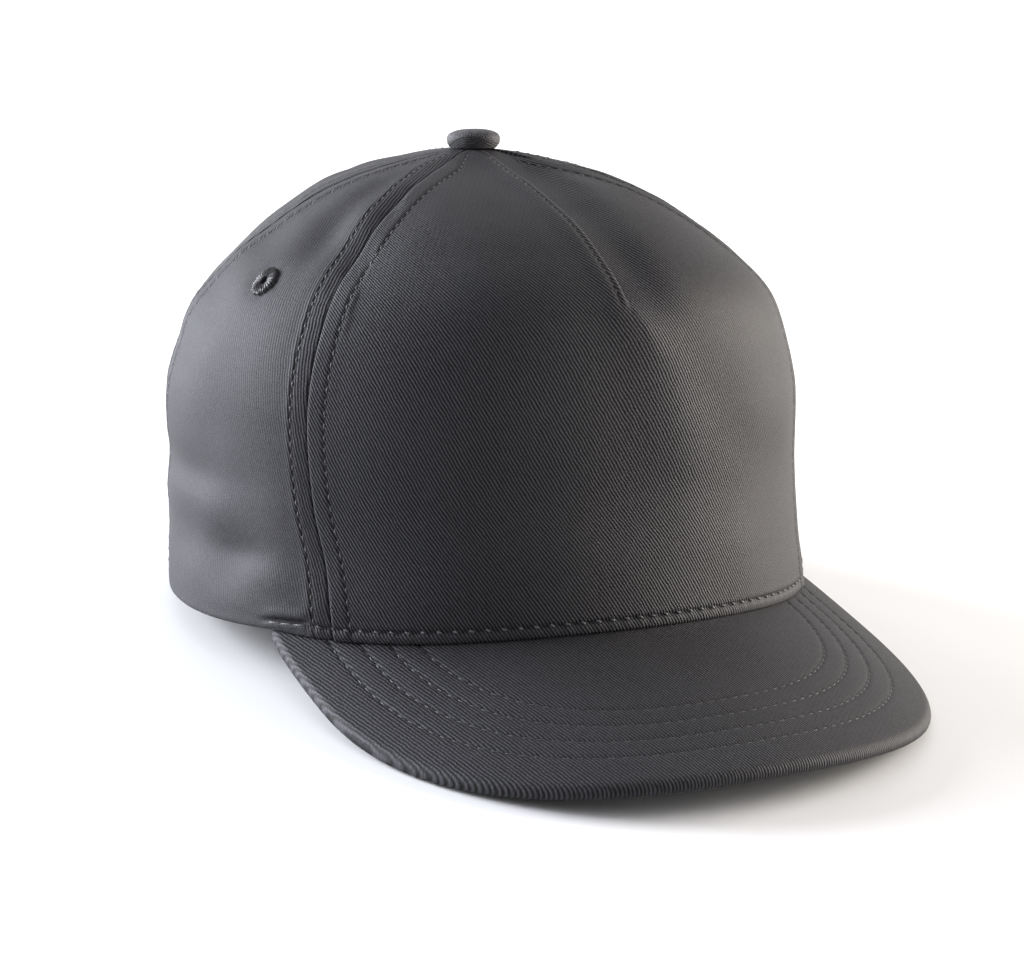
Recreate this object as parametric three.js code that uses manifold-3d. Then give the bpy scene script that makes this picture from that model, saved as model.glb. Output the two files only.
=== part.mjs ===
// Snapback cap, 58 cm, cut and sewn in cotton twill with a plastic closing strap.
//
// Units are millimetres. The crown is drawn in the cap's own frame: the origin is the centre of the
// rim oval, the front points along -Y, the wearer's left is +X and the crown rises along +Z. The whole
// cap is then tipped to lie on a flat surface, on the two low sides of the brim and the back of the rim.
//
// A point of the crown is named by two angles. The bearing runs round the rim from the front, positive
// towards the wearer's left. The lift runs from the rim, 0, to the button, 90 degrees.

import * as THREE from 'three';
import { mergeVertices } from 'three/addons/utils/BufferGeometryUtils.js';
import Module from 'manifold-3d';

const wasm = await Module();
wasm.setup();

// Rim oval and crown
const RIM_SIDE = 93;
const RIM_FRONT = 86;
const RIM_BACK = 92;
const RIM_POWER = 1.95;
const TOP_POWER = 2.07;
const BACK_RIM_HEIGHT = 0.5;
const APEX_X = -3.2;
const APEX_Y = 1.3;
const APEX_DRIFT_POWER = 1.5;
const LIFT_STEP = 11.25;
// Distance from the rim's centre to the cloth at each lift step, on the front, side and back lines
const CROWN_SECTIONS = [
  { front: RIM_FRONT, side: RIM_SIDE, back: RIM_BACK },
  { front: 85.5, side: 92.5, back: 100 },
  { front: 87, side: 98, back: 104.5 },
  { front: 98, side: 107.5, back: 105.5 },
  { front: 111.4, side: 114.4, back: 106 },
  { front: 112.9, side: 115.4, back: 112.6 },
  { front: 112.3, side: 116.6, back: 119 },
  { front: 113.2, side: 116.4, back: 118.7 },
  { front: 117.4, side: 117.4, back: 117.4 },
];
// Fullness of the cloth behind the ears
const QUARTER_BULGE = { depth: 1.8, bearing: 128, width: 32, pace: 2.2 };
// Steps of the angles between which the cloth's direction is measured, and the highest lift it is read at
const NORMAL_STEP = 0.4;
const NORMAL_TOP = 89.5;
const NEAR_TOP = 89.9;

// Panels
const WALL = 2;
const SEAM_GAP = 0.3;
const FIT_GAP = 0.3;
const FRONT_SEAM = { bearing: 53.3, bow: 5.7, pull: 4.1 };
const REAR_SEAM = { bearing: 118, gather: 26.3 };
const TOP_HOLE_RADIUS = 4;
const PANEL_ROWS = 13;
const PANEL_COLUMNS = { front: 20, side: 10, back: 12 };
// Bearing by which a seam edge is drawn in further, so that rounding never closes the gap
const SEAM_MARGIN = 0.02;

// Dart, centre ridge and dents of the cloth
// The dart runs down from the button and ends at this lift, with a ridge and a valley beside it
const DART_END_LIFT = 46;
const DART_RIDGE = { height: 0.8, offset: -3, width: 3.5 };
const DART_VALLEY = { depth: 1.8, offset: 7, width: 7 };
const CENTRE_RIDGE = { height: 1.6, width: 15 };
// Lifts over which each fades in or out: about the dart's end, near the button and near the rim
const DART_FADE = { below: 6, above: 8 };
const RIDGE_FADE = { below: 8, above: 12 };
const BUTTON_FADE = { from: 80, to: 90 };
const RIM_FADE = 10;
const SIDE_DENTS = [
  { bearing: -84, lift: 27, depth: 1.8, across: 17, high: 6.5 },
  { bearing: -80, lift: 13, depth: 1.6, across: 20, high: 5 },
];

// Brim
const BRIM_THICKNESS = 3.7;
const BRIM_EDGE = 1.3;
const BRIM_EDGE_DROP = 1.04;
const BRIM_LENGTH = 61.7;
const BRIM_HALF_WIDTH = 86.2;
const BRIM_WIDEST_Y = -66;
const BRIM_POWER = 2.1;
const BRIM_REAR_REACH = 164;
const BRIM_REAR_SHARE = 0.07;
// The front of the brim leans a little towards the wearer's left, more the further out it is
const BRIM_LEAN = { from: -40, reach: 70, most: 1.5, shift: 1.6, skew: 0.033 };
const BRIM_ROOT_BEARING = 65.7;
const BRIM_ROOT_MARGIN = 6;
const BRIM_FRONT_DROP = -7.45;
const BRIM_SLOPE = 0.374;
const BRIM_ARCH = 0.0027;
const BRIM_TUCK = 1.8;
const BRIM_ROWS = 5;
const BRIM_COLUMNS = 36;

// Covered button, its shank and the washer inside the crown
const BUTTON_PROFILE = [
  { radius: 6.2, height: 0 },
  { radius: 7.2, height: 1.2 },
  { radius: 7.6, height: 2.3 },
  { radius: 7.4, height: 3.3 },
  { radius: 6.4, height: 4.3 },
  { radius: 3.8, height: 5 },
  { radius: 0, height: 5.2 },
];
const BUTTON_CLEARANCE = 0.5;
const BUTTON_HOLLOW = 0.6;
const BUTTON_SEGMENTS = 20;
const SHANK_RADIUS = 3.2;
const WASHER_RADIUS = 7;
const WASHER_THICKNESS = 1.2;
const WASHER_EDGE = 0.4;
const WASHER_DROP = 1.8;

// Eyelets
const EYELET_OUTER = 4.5;
const EYELET_HOLE = 1.4;
const EYELET_CUT = 3.2;
const EYELET_PROUD = 0.9;
const EYELET_BEVEL = 0.6;
const EYELET_LIFT = 48.5;
const EYELET_BEARINGS = { side: 78.5, back: 148 };
// How far the crown curves away inside, under the eyelet's flange
const EYELET_CURVE = 0.5;
const EYELET_SEGMENTS = 12;

// Opening, strap and sweatband
const ARCH_HALF_WIDTH = 40;
const ARCH_HEIGHT = 47;
const ARCH_SEGMENTS = 16;
// The arch's cutter starts below the rim and runs from behind the cap into the crown
const ARCH_CUTTER = { low: -20, back: 120, depth: 60 };
const STRAP_HALF_ANGLE = 33;
const STRAP_OVERLAP_ANGLE = 17;
const STRAP_STEP_ANGLE = 2;
const STRAP_COLUMNS = 22;
const STRAP_ROWS = 2;
const STRAP_THICKNESS = 1.3;
const STRAP_DEPTH = WALL + 0.6;
const STRAP_LIFTS = { low: 0.8, high: 10.5 };
const STUD_RADIUS = 2.1;
const STUD_HEIGHT = 1.2;
const STUD_PITCH_ANGLE = 5.2;
const STUD_COUNT = 6;
const STUD_SEGMENTS = 8;
const BAND_GAP = 0.6;
const BAND_THICKNESS = 1.2;
const BAND_LIFTS = { low: 2.6, high: 20 };
const BAND_END_ANGLE = 152;
const BAND_COLUMNS = 40;
const BAND_ROWS = 3;
// Angles before the strap's ends over which the band makes room for them
const BAND_ROOM = { from: 10, to: 3 };

// Resting pose
const REST_TILT = 10.19;

const FINISHES = {
  twill: { color: 0x47464a, roughness: 0.92, metalness: 0 },
  thread: { color: 0x39383c, roughness: 0.8, metalness: 0 },
  lining: { color: 0x2f2f33, roughness: 0.9, metalness: 0 },
  plastic: { color: 0x1d1d20, roughness: 0.45, metalness: 0 },
};

const rad = THREE.MathUtils.degToRad;
const deg = THREE.MathUtils.radToDeg;
const rise = (from, to, value) => THREE.MathUtils.smoothstep(value, from, to);
const fall = (from, to, value) => 1 - rise(from, to, value);
// Angle from the front, whichever way round, for bearings that run past the centre back
const fromFront = (bearing) => 180 - Math.abs(180 - Math.abs(bearing));
const bell = (value, centre, width) => Math.exp(-(((value - centre) / width) ** 2));
const signedPower = (value, power) => Math.sign(value) * Math.abs(value) ** power;

// Distance to the cloth on the front, side or back line, a smooth curve through the section table
function sectionRadius(line, lift) {
  const last = CROWN_SECTIONS.length - 1;
  const place = Math.min(lift / LIFT_STEP, last - 1e-6);
  const index = Math.floor(place);
  const t = place - index;
  const at = (i) => CROWN_SECTIONS[THREE.MathUtils.clamp(i, 0, last)][line];
  const slope = (i) => {
    if (i === last) {
      return 0;
    }
    return i === 0 ? at(1) - at(0) : (at(i + 1) - at(i - 1)) / 2;
  };
  const t2 = t * t;
  const t3 = t2 * t;
  return (2 * t3 - 3 * t2 + 1) * at(index) + (t3 - 2 * t2 + t) * slope(index)
    + (3 * t2 - 2 * t3) * at(index + 1) + (t3 - t2) * slope(index + 1);
}

function rimPoint(bearing, inset = 0) {
  const depth = Math.abs(bearing) < 90 ? RIM_FRONT : RIM_BACK;
  const x = (RIM_SIDE - inset) * signedPower(Math.sin(rad(bearing)), 2 / RIM_POWER);
  const y = -(depth - inset) * signedPower(Math.cos(rad(bearing)), 2 / RIM_POWER);
  return new THREE.Vector2(x, y);
}

// Height of the brim's top face
function brimTop(x, y) {
  return BRIM_FRONT_DROP + BRIM_SLOPE * (y + RIM_FRONT) - BRIM_ARCH * x * x;
}

// Height of the rim: it lies on the brim at the front and levels out towards the back
function rimHeight(bearing) {
  const around = fromFront(bearing);
  const root = rimPoint(Math.min(around, BRIM_ROOT_BEARING));
  const level = rise(BRIM_ROOT_BEARING, 180, around);
  return brimTop(root.x, root.y) * (1 - level) + BACK_RIM_HEIGHT * level + FIT_GAP;
}

// How far the cloth stands out from, or sinks below, the plain crown
function relief(bearing, lift, ring) {
  const across = rad(bearing) * ring;
  const aboveDartEnd = rise(DART_END_LIFT - DART_FADE.below, DART_END_LIFT + DART_FADE.above, lift)
    * fall(BUTTON_FADE.from, BUTTON_FADE.to, lift);
  const belowDartEnd = fall(DART_END_LIFT - RIDGE_FADE.below, DART_END_LIFT + RIDGE_FADE.above, lift)
    * rise(0, RIM_FADE, lift);
  let height = 0;
  if (Math.abs(bearing) < FRONT_SEAM.bearing) {
    height += aboveDartEnd * DART_RIDGE.height * bell(across, DART_RIDGE.offset, DART_RIDGE.width);
    height -= aboveDartEnd * DART_VALLEY.depth * bell(across, DART_VALLEY.offset, DART_VALLEY.width);
    height += belowDartEnd * CENTRE_RIDGE.height * bell(across, 0, CENTRE_RIDGE.width);
  }
  for (const dent of SIDE_DENTS) {
    height -= dent.depth * bell(bearing, dent.bearing, dent.across) * bell(lift, dent.lift, dent.high);
  }
  return height;
}

// A point of the crown's outer face
function crownPoint(bearing, lift) {
  const sin = Math.sin(rad(bearing));
  const cos = Math.cos(rad(bearing));
  const climb = Math.sin(rad(lift));
  const spread = Math.cos(rad(lift));
  const bulge = QUARTER_BULGE.depth * bell(fromFront(bearing), QUARTER_BULGE.bearing, QUARTER_BULGE.width)
    * Math.sin(Math.min(rad(lift) * QUARTER_BULGE.pace, Math.PI));
  const side = sectionRadius('side', lift) + bulge * sin * sin;
  const end = sectionRadius(cos > 0 ? 'front' : 'back', lift) + bulge * cos * cos;
  const power = RIM_POWER + (TOP_POWER - RIM_POWER) * climb;
  const swell = 1 + relief(bearing, lift, side * spread) / side;
  const drift = APEX_X * (1 - spread) ** APEX_DRIFT_POWER;
  const x = swell * side * spread * signedPower(sin, 2 / power) + drift;
  const y = -swell * end * spread * signedPower(cos, 2 / power) + APEX_Y * (1 - spread);
  const z = swell * climb * (side * sin * sin + end * cos * cos) + rimHeight(bearing) * spread * spread;
  return new THREE.Vector3(x, y, z);
}

function crownNormal(bearing, lift) {
  const low = Math.max(lift - NORMAL_STEP, 0);
  const high = Math.min(lift + NORMAL_STEP, NORMAL_TOP);
  const round = crownPoint(bearing + NORMAL_STEP, lift).sub(crownPoint(bearing - NORMAL_STEP, lift));
  const up = crownPoint(bearing, high).sub(crownPoint(bearing, low));
  return round.cross(up).normalize();
}

// A point below the crown's outer face, kept clear of the brim under the rim
function insideCrown(bearing, lift, depth) {
  const point = crownPoint(bearing, lift).addScaledVector(crownNormal(bearing, lift), -depth);
  if (Math.abs(bearing) < BRIM_ROOT_BEARING + BRIM_ROOT_MARGIN) {
    point.z = Math.max(point.z, brimTop(point.x, point.y) + FIT_GAP);
  }
  return point;
}

// A closed solid between two grids of points, columns running round and rows running up
function shell(columns, rows, outer, inner) {
  const positions = [];
  const triangles = [];
  const width = columns + 1;
  const layer = width * (rows + 1);
  for (const face of [outer, inner]) {
    for (let row = 0; row <= rows; row += 1) {
      for (let column = 0; column <= columns; column += 1) {
        positions.push(...face(column / columns, row / rows).toArray());
      }
    }
  }
  const quad = (a, b, c, d) => triangles.push(a, b, c, a, c, d);
  const at = (column, row, side) => side * layer + row * width + column;
  for (let row = 0; row < rows; row += 1) {
    for (let column = 0; column < columns; column += 1) {
      const corners = [[column, row], [column + 1, row], [column + 1, row + 1], [column, row + 1]];
      quad(...corners.map(([c, r]) => at(c, r, 0)));
      quad(...corners.reverse().map(([c, r]) => at(c, r, 1)));
    }
  }
  for (let column = 0; column < columns; column += 1) {
    quad(at(column + 1, 0, 0), at(column, 0, 0), at(column, 0, 1), at(column + 1, 0, 1));
    quad(at(column, rows, 0), at(column + 1, rows, 0), at(column + 1, rows, 1), at(column, rows, 1));
  }
  for (let row = 0; row < rows; row += 1) {
    quad(at(0, row, 0), at(0, row + 1, 0), at(0, row + 1, 1), at(0, row, 1));
    quad(at(columns, row + 1, 0), at(columns, row, 0), at(columns, row, 1), at(columns, row + 1, 1));
  }
  const geometry = new THREE.BufferGeometry();
  geometry.setAttribute('position', new THREE.Float32BufferAttribute(positions, 3));
  geometry.setIndex(triangles);
  return geometry;
}

function toManifold(geometry) {
  const bare = geometry.index ? geometry.clone() : mergeVertices(geometry);
  bare.deleteAttribute('normal');
  bare.deleteAttribute('uv');
  const merged = mergeVertices(bare);
  const mesh = new wasm.Mesh({
    numProp: 3,
    vertProperties: new Float32Array(merged.attributes.position.array),
    triVerts: new Uint32Array(merged.index.array),
  });
  return new wasm.Manifold(mesh);
}

function fromManifold(solid) {
  const mesh = solid.getMesh();
  const geometry = new THREE.BufferGeometry();
  geometry.setAttribute('position', new THREE.Float32BufferAttribute(mesh.vertProperties, 3));
  geometry.setIndex(Array.from(mesh.triVerts));
  return geometry;
}

function cutAway(geometry, tools) {
  const solid = tools.reduce((rest, tool) => rest.subtract(toManifold(tool)), toManifold(geometry));
  return fromManifold(solid);
}

function piece(name, geometry, finish) {
  geometry.computeVertexNormals();
  const material = new THREE.MeshStandardMaterial({ ...FINISHES[finish], name: finish, flatShading: true });
  const mesh = new THREE.Mesh(geometry, material);
  mesh.name = name;
  return mesh;
}

// Bearings of the two seams at a lift
const frontSeam = (lift) => FRONT_SEAM.bearing + FRONT_SEAM.bow * Math.sin(2 * rad(lift))
  - FRONT_SEAM.pull * Math.sin(rad(lift)) ** 6;
const rearSeam = (lift) => REAR_SEAM.bearing - REAR_SEAM.gather * Math.sin(rad(lift)) ** 2;

// A cloth panel between two seams, drawn in by half a seam gap on each side
function panel(startAt, endAt, columns) {
  const top = deg(Math.acos(TOP_HOLE_RADIUS / CROWN_SECTIONS.at(-1).side));
  const place = (u, v) => {
    const lift = top * v;
    const ring = sectionRadius('side', lift) * Math.cos(rad(lift));
    const gap = deg(SEAM_GAP / 2 / ring) + SEAM_MARGIN;
    const start = startAt(lift) + gap;
    const end = endAt(lift) - gap;
    return [start + (end - start) * u, lift];
  };
  const outer = (u, v) => insideCrown(...place(u, v), 0);
  const inner = (u, v) => insideCrown(...place(u, v), WALL);
  return shell(columns, PANEL_ROWS, outer, inner);
}

// Stands a shape made along +Z on the crown's outer face
function onCrown(geometry, bearing, lift, depth = 0) {
  const normal = crownNormal(bearing, lift);
  const turn = new THREE.Quaternion().setFromUnitVectors(new THREE.Vector3(0, 0, 1), normal);
  const place = crownPoint(bearing, lift).addScaledVector(normal, -depth);
  return geometry.applyQuaternion(turn).translate(place.x, place.y, place.z);
}

function eyeletDrill(bearing) {
  const drill = new THREE.CylinderGeometry(EYELET_CUT, EYELET_CUT, 6 * WALL, EYELET_SEGMENTS);
  return onCrown(drill.rotateX(Math.PI / 2), bearing, EYELET_LIFT, WALL / 2);
}

function eyelet(name, bearing) {
  const neck = EYELET_CUT - FIT_GAP;
  const above = FIT_GAP;
  const below = -WALL - FIT_GAP - EYELET_CURVE;
  const profile = [
    [EYELET_HOLE, below - EYELET_PROUD / 2],
    [EYELET_OUTER - EYELET_BEVEL, below - EYELET_PROUD],
    [EYELET_OUTER, below],
    [neck, below],
    [neck, above],
    [EYELET_OUTER, above],
    [EYELET_OUTER - EYELET_BEVEL, above + EYELET_PROUD],
    [EYELET_HOLE, above + EYELET_PROUD / 2],
    [EYELET_HOLE, below - EYELET_PROUD / 2],
  ].map(([radius, height]) => new THREE.Vector2(radius, height));
  const ring = new THREE.LatheGeometry(profile, EYELET_SEGMENTS).rotateX(Math.PI / 2);
  return piece(name, onCrown(ring, bearing, EYELET_LIFT), 'thread');
}

// The arch cut through the two back panels
function archCutter() {
  const outline = new THREE.Shape();
  outline.moveTo(-ARCH_HALF_WIDTH, ARCH_CUTTER.low);
  outline.lineTo(ARCH_HALF_WIDTH, ARCH_CUTTER.low);
  for (let i = 0; i <= ARCH_SEGMENTS; i += 1) {
    const angle = (Math.PI * i) / ARCH_SEGMENTS;
    outline.lineTo(ARCH_HALF_WIDTH * Math.cos(angle), ARCH_HEIGHT * Math.sin(angle));
  }
  const cutter = new THREE.ExtrudeGeometry(outline, { depth: ARCH_CUTTER.depth, bevelEnabled: false });
  return cutter.rotateX(Math.PI / 2).translate(0, ARCH_CUTTER.back, 0);
}

function frontPanel() {
  const geometry = panel((lift) => -frontSeam(lift), frontSeam, PANEL_COLUMNS.front);
  return piece('front_panel', geometry, 'twill');
}

function sidePanel(name, direction) {
  const seams = [(lift) => direction * frontSeam(lift), (lift) => direction * rearSeam(lift)];
  const geometry = panel(...(direction > 0 ? seams : seams.reverse()), PANEL_COLUMNS.side);
  return piece(name, cutAway(geometry, [eyeletDrill(direction * EYELET_BEARINGS.side)]), 'twill');
}

function backPanel(name, direction) {
  const seams = [(lift) => direction * rearSeam(lift), () => direction * 180];
  const geometry = panel(...(direction > 0 ? seams : seams.reverse()), PANEL_COLUMNS.back);
  const drill = eyeletDrill(direction * EYELET_BEARINGS.back);
  return piece(name, cutAway(geometry, [drill, archCutter()]), 'twill');
}

function brimLean(x, y) {
  const share = THREE.MathUtils.clamp((BRIM_LEAN.from - y) / BRIM_LEAN.reach, 0, BRIM_LEAN.most);
  return new THREE.Vector2(x + BRIM_LEAN.shift * share, y + BRIM_LEAN.skew * x * share);
}

// The brim's outer edge from the wearer's right corner, round the front, to the left corner
function brimOutline(fraction) {
  const corner = rimPoint(BRIM_ROOT_BEARING);
  const frontLength = RIM_FRONT + BRIM_LENGTH + BRIM_WIDEST_Y;
  const rearLength = corner.y - BRIM_WIDEST_Y;
  const side = fraction < 0.5 ? -1 : 1;
  const fromCorner = fraction < 0.5 ? fraction : 1 - fraction;
  if (fromCorner < BRIM_REAR_SHARE) {
    const y = corner.y - rearLength * (fromCorner / BRIM_REAR_SHARE);
    const reach = (y - BRIM_WIDEST_Y) / BRIM_REAR_REACH;
    return brimLean(side * BRIM_HALF_WIDTH * Math.sqrt(1 - reach * reach), y);
  }
  const angle = (Math.PI / 2) * ((0.5 - fromCorner) / (0.5 - BRIM_REAR_SHARE));
  const x = side * BRIM_HALF_WIDTH * signedPower(Math.sin(angle), 2 / BRIM_POWER);
  const y = BRIM_WIDEST_Y - frontLength * signedPower(Math.cos(angle), 2 / BRIM_POWER);
  return brimLean(x, y);
}

function brim() {
  const place = (u, v) => {
    const root = rimPoint(BRIM_ROOT_BEARING * (2 * u - 1), BRIM_TUCK);
    const edge = brimOutline(u);
    if (v === 0) {
      return edge;
    }
    const first = Math.min(BRIM_EDGE / edge.distanceTo(root), 0.3);
    return edge.lerp(root, THREE.MathUtils.lerp(first, 1, (v * BRIM_ROWS - 1) / (BRIM_ROWS - 1)));
  };
  const at = (u, v, drop) => {
    const { x, y } = place(u, v);
    return new THREE.Vector3(x, y, brimTop(x, y) - drop);
  };
  const top = (u, v) => at(u, v, v === 0 ? BRIM_EDGE_DROP : 0);
  const bottom = (u, v) => at(u, v, v === 0 ? BRIM_THICKNESS - BRIM_EDGE_DROP : BRIM_THICKNESS);
  return piece('brim', shell(BRIM_COLUMNS, BRIM_ROWS, top, bottom), 'twill');
}

function topButton() {
  const seat = crownPoint(0, NEAR_TOP).z;
  const underside = seat + BUTTON_CLEARANCE;
  const washerTop = seat - WALL - WASHER_DROP;
  const profile = [
    [0, washerTop - WASHER_THICKNESS],
    [WASHER_RADIUS, washerTop - WASHER_THICKNESS],
    [WASHER_RADIUS, washerTop - WASHER_EDGE],
    [SHANK_RADIUS, washerTop],
    [SHANK_RADIUS, underside + BUTTON_HOLLOW],
    ...BUTTON_PROFILE.map(({ radius, height }) => [radius, underside + height]),
  ].map(([radius, height]) => new THREE.Vector2(radius, height));
  const turned = new THREE.LatheGeometry(profile, BUTTON_SEGMENTS).rotateX(Math.PI / 2);
  return piece('top_button', turned.translate(APEX_X, APEX_Y, 0), 'twill');
}

// Room left between the back panels and the band for the strap's ends
function bandDepth(bearing) {
  const strapEnd = 180 - STRAP_HALF_ANGLE;
  const room = rise(strapEnd - BAND_ROOM.from, strapEnd - BAND_ROOM.to, Math.abs(bearing));
  return WALL + BAND_GAP + room * (STRAP_THICKNESS + FIT_GAP);
}

function sweatband() {
  const place = (u, v) => [
    BAND_END_ANGLE * (2 * u - 1),
    THREE.MathUtils.lerp(BAND_LIFTS.low, BAND_LIFTS.high, v),
  ];
  const face = (depth) => (u, v) => {
    const [bearing, lift] = place(u, v);
    return insideCrown(bearing, lift, bandDepth(bearing) + depth);
  };
  return piece('sweatband', shell(BAND_COLUMNS, BAND_ROWS, face(0), face(BAND_THICKNESS)), 'lining');
}

// The strap, closed: a thin curved strip, doubled in the middle, with its row of studs
function snapStrap() {
  const stepFrom = STRAP_OVERLAP_ANGLE - STRAP_STEP_ANGLE;
  const stepTo = STRAP_OVERLAP_ANGLE + STRAP_STEP_ANGLE;
  const doubled = (bearing) => fall(stepFrom, stepTo, Math.abs(bearing - 180));
  const place = (u, v) => [
    180 + STRAP_HALF_ANGLE * (2 * u - 1),
    THREE.MathUtils.lerp(STRAP_LIFTS.low, STRAP_LIFTS.high, v),
  ];
  const outer = (u, v) => {
    const [bearing, lift] = place(u, v);
    return insideCrown(bearing, lift, STRAP_DEPTH - doubled(bearing) * STRAP_THICKNESS);
  };
  const inner = (u, v) => insideCrown(...place(u, v), STRAP_DEPTH + STRAP_THICKNESS);
  let solid = toManifold(shell(STRAP_COLUMNS, STRAP_ROWS, outer, inner));
  const middle = (STRAP_LIFTS.low + STRAP_LIFTS.high) / 2;
  for (let i = 0; i < STUD_COUNT; i += 1) {
    const bearing = 180 + STUD_PITCH_ANGLE * (i - (STUD_COUNT - 1) / 2);
    const stud = new THREE.CylinderGeometry(STUD_RADIUS, STUD_RADIUS, 2 * STUD_HEIGHT, STUD_SEGMENTS);
    const standing = onCrown(stud.rotateX(Math.PI / 2), bearing, middle, STRAP_DEPTH - STRAP_THICKNESS);
    solid = solid.add(toManifold(standing));
  }
  return piece('snap_strap', fromManifold(solid), 'plastic');
}

const cap = new THREE.Group();
cap.add(frontPanel());
for (const [label, direction] of [['right', -1], ['left', 1]]) {
  cap.add(sidePanel(`side_panel_${label}`, direction));
  cap.add(backPanel(`back_panel_${label}`, direction));
  for (const [place, bearing] of Object.entries(EYELET_BEARINGS)) {
    cap.add(eyelet(`eyelet_${place}_${label}`, direction * bearing));
  }
}
cap.add(brim());
cap.add(topButton());
cap.add(sweatband());
cap.add(snapStrap());

// Tip the cap onto its resting points and stand the middle of its box on the origin
cap.rotation.x = rad(-REST_TILT);
const resting = new THREE.Group();
resting.add(cap);
const box = new THREE.Box3().setFromObject(resting, true);
const centre = box.getCenter(new THREE.Vector3());
resting.position.set(-centre.x, -centre.y, -box.min.z);

export default resting;
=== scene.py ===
"""Charcoal twill snapback cap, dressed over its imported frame.

Lengths are in millimetres in the cap's own frame, as in the part's source: the origin is the centre of
the rim oval, the front points along -Y, the wearer's left is +X and the crown rises along +Z. Pose turns
a finished set of points into the scene's metres, with the cap lying on its brim and the back of its rim.

A point of the crown is named by two angles in degrees. The bearing runs round the rim from the front,
positive towards the wearer's left. The lift runs from the rim, 0, to the button, 90.
"""

from __future__ import annotations

import logging
import math
from dataclasses import dataclass, field
from enum import Enum
from typing import Sequence

import bpy
import bmesh
import numpy as np
from mathutils import Matrix, Vector

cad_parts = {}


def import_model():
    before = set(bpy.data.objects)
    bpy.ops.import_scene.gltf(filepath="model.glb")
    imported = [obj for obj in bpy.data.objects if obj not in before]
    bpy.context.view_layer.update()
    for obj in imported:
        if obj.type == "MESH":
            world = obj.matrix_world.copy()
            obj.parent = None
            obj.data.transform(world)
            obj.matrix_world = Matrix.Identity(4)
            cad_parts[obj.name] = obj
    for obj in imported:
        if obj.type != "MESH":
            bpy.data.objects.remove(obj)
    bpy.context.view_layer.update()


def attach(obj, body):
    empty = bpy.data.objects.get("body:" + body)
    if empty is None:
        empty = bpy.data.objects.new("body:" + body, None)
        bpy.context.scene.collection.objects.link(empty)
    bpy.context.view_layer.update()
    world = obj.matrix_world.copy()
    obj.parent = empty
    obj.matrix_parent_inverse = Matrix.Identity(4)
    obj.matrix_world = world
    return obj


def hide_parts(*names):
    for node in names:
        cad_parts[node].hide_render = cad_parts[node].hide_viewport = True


LOG = logging.getLogger("cap")
Array = np.ndarray
Thing = bpy.types.Object
Material = bpy.types.Material
Pair = tuple[float, float]
Triple = tuple[float, float, float]
Colour = tuple[float, float, float, float]

# Metres in a millimetre
MM = 0.001
# Distance in mm given to a point that no row of stitches is near
FAR = 9.0
# Share of its thickness below which a wall's two faces are one
CLOSED = 1e-6
# Points closer than the first, in mm, are merged, and edges shorter than the second are taken out
WELD, SLIVER = 0.004, 0.002
# The five seams: 0 and 1 front, 2 and 3 rear, 4 the centre back
SEAMS = range(5)
CENTRE_BACK = 4
# Bearing and lift of the top of the crown, where the button sits
TOP = (np.float64(0.0), np.float64(89.9))
# Lifts at which lengths of cloth are worked out
LADDER = np.linspace(0.0, 90.0, 361)


class NodeWord(Enum):
    """A choice whose name is part of the names of the frame's nodes."""

    @property
    def word(self) -> str:
        """The name in lower case, as the nodes have it."""
        return self.name.lower()


class Side(NodeWord):
    """The two sides of the cap as the wearer has them, with the sign of their bearings."""

    RIGHT = -1
    LEFT = 1


class Grain(Enum):
    """How a piece is cut from the twill: the slant of its ribs in degrees and their pitch in mm."""

    FRONT = (60.0, 0.88)
    SIDE = (68.0, 0.83)
    BACK = (58.0, 0.88)
    BRIM = (78.5, 0.82)
    BUTTON = (55.0, 0.85)


class Flank(NodeWord):
    """The panels behind the front one: bearing of the eyelet, cut of the cloth and columns of points."""

    SIDE = (78.5, Grain.SIDE, 60)
    BACK = (148.0, Grain.BACK, 80)

    @property
    def bearing(self) -> float:
        """Bearing of the panel's eyelet, from the front."""
        return self.value[0]


def ease(low: float, high: float, value: Array) -> Array:
    """Climbs from 0 at low to 1 at high along an S curve, three squares less two cubes."""
    share = np.clip((value - low) / (high - low), 0.0, 1.0)
    return share * share * (3.0 - 2.0 * share)


def bell(value: Array, centre: float, width: float) -> Array:
    """A bell of height 1 about centre, down to 1/e at one width away."""
    return np.exp(-(((value - centre) / width) ** 2))


def signed_power(value: Array, power: float) -> Array:
    """Raises the size of a value to a power and keeps its sign."""
    return np.sign(value) * np.abs(value) ** power


def unit(vectors: Array) -> Array:
    """Vectors of length 1 along the last axis."""
    return vectors / np.linalg.norm(vectors, axis=-1, keepdims=True)


def running_length(points: Array) -> Array:
    """Length along a line of points, from the first to each of them."""
    return np.concatenate([[0.0], np.cumsum(np.linalg.norm(np.diff(points, axis=0), axis=1))])


def read_line(place: Array, known: Array, points: Array) -> Array:
    """Points of a line at places between known ones, straight from point to point."""
    return np.stack([np.interp(place, known, column) for column in points.T], axis=-1)


def needle_pulse(beat: Array) -> Array:
    """A cosine along a row of stitches: 1 at the needle's holes and 0 half way between them."""
    return 0.5 + 0.5 * np.cos(2 * math.pi * beat)


def nearest_row(found: Sequence[tuple[Array, Array, Array | bool]]) -> tuple[Array, Array]:
    """How far the nearest of several rows of stitches is, and the stitches counted along it.

    Args:
        found: for each row the signed distance, the count and where the row is sewn.

    Returns:
        The distance, which is FAR where no row is near, and the count.
    """
    gap = np.full(found[0][0].shape, FAR)
    beat = np.zeros_like(gap)
    for away, count, sewn_here in found:
        closer = (np.abs(away) < np.abs(gap)) & sewn_here
        gap, beat = np.where(closer, away, gap), np.where(closer, count, beat)
    return gap, beat


def pinched(outer: Array, inner: Array, full: Array) -> Array:
    """The inner face of a wall, drawn to the outer one where the wall has no thickness left."""
    return np.where((full > CLOSED)[..., None], inner, outer)


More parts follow.
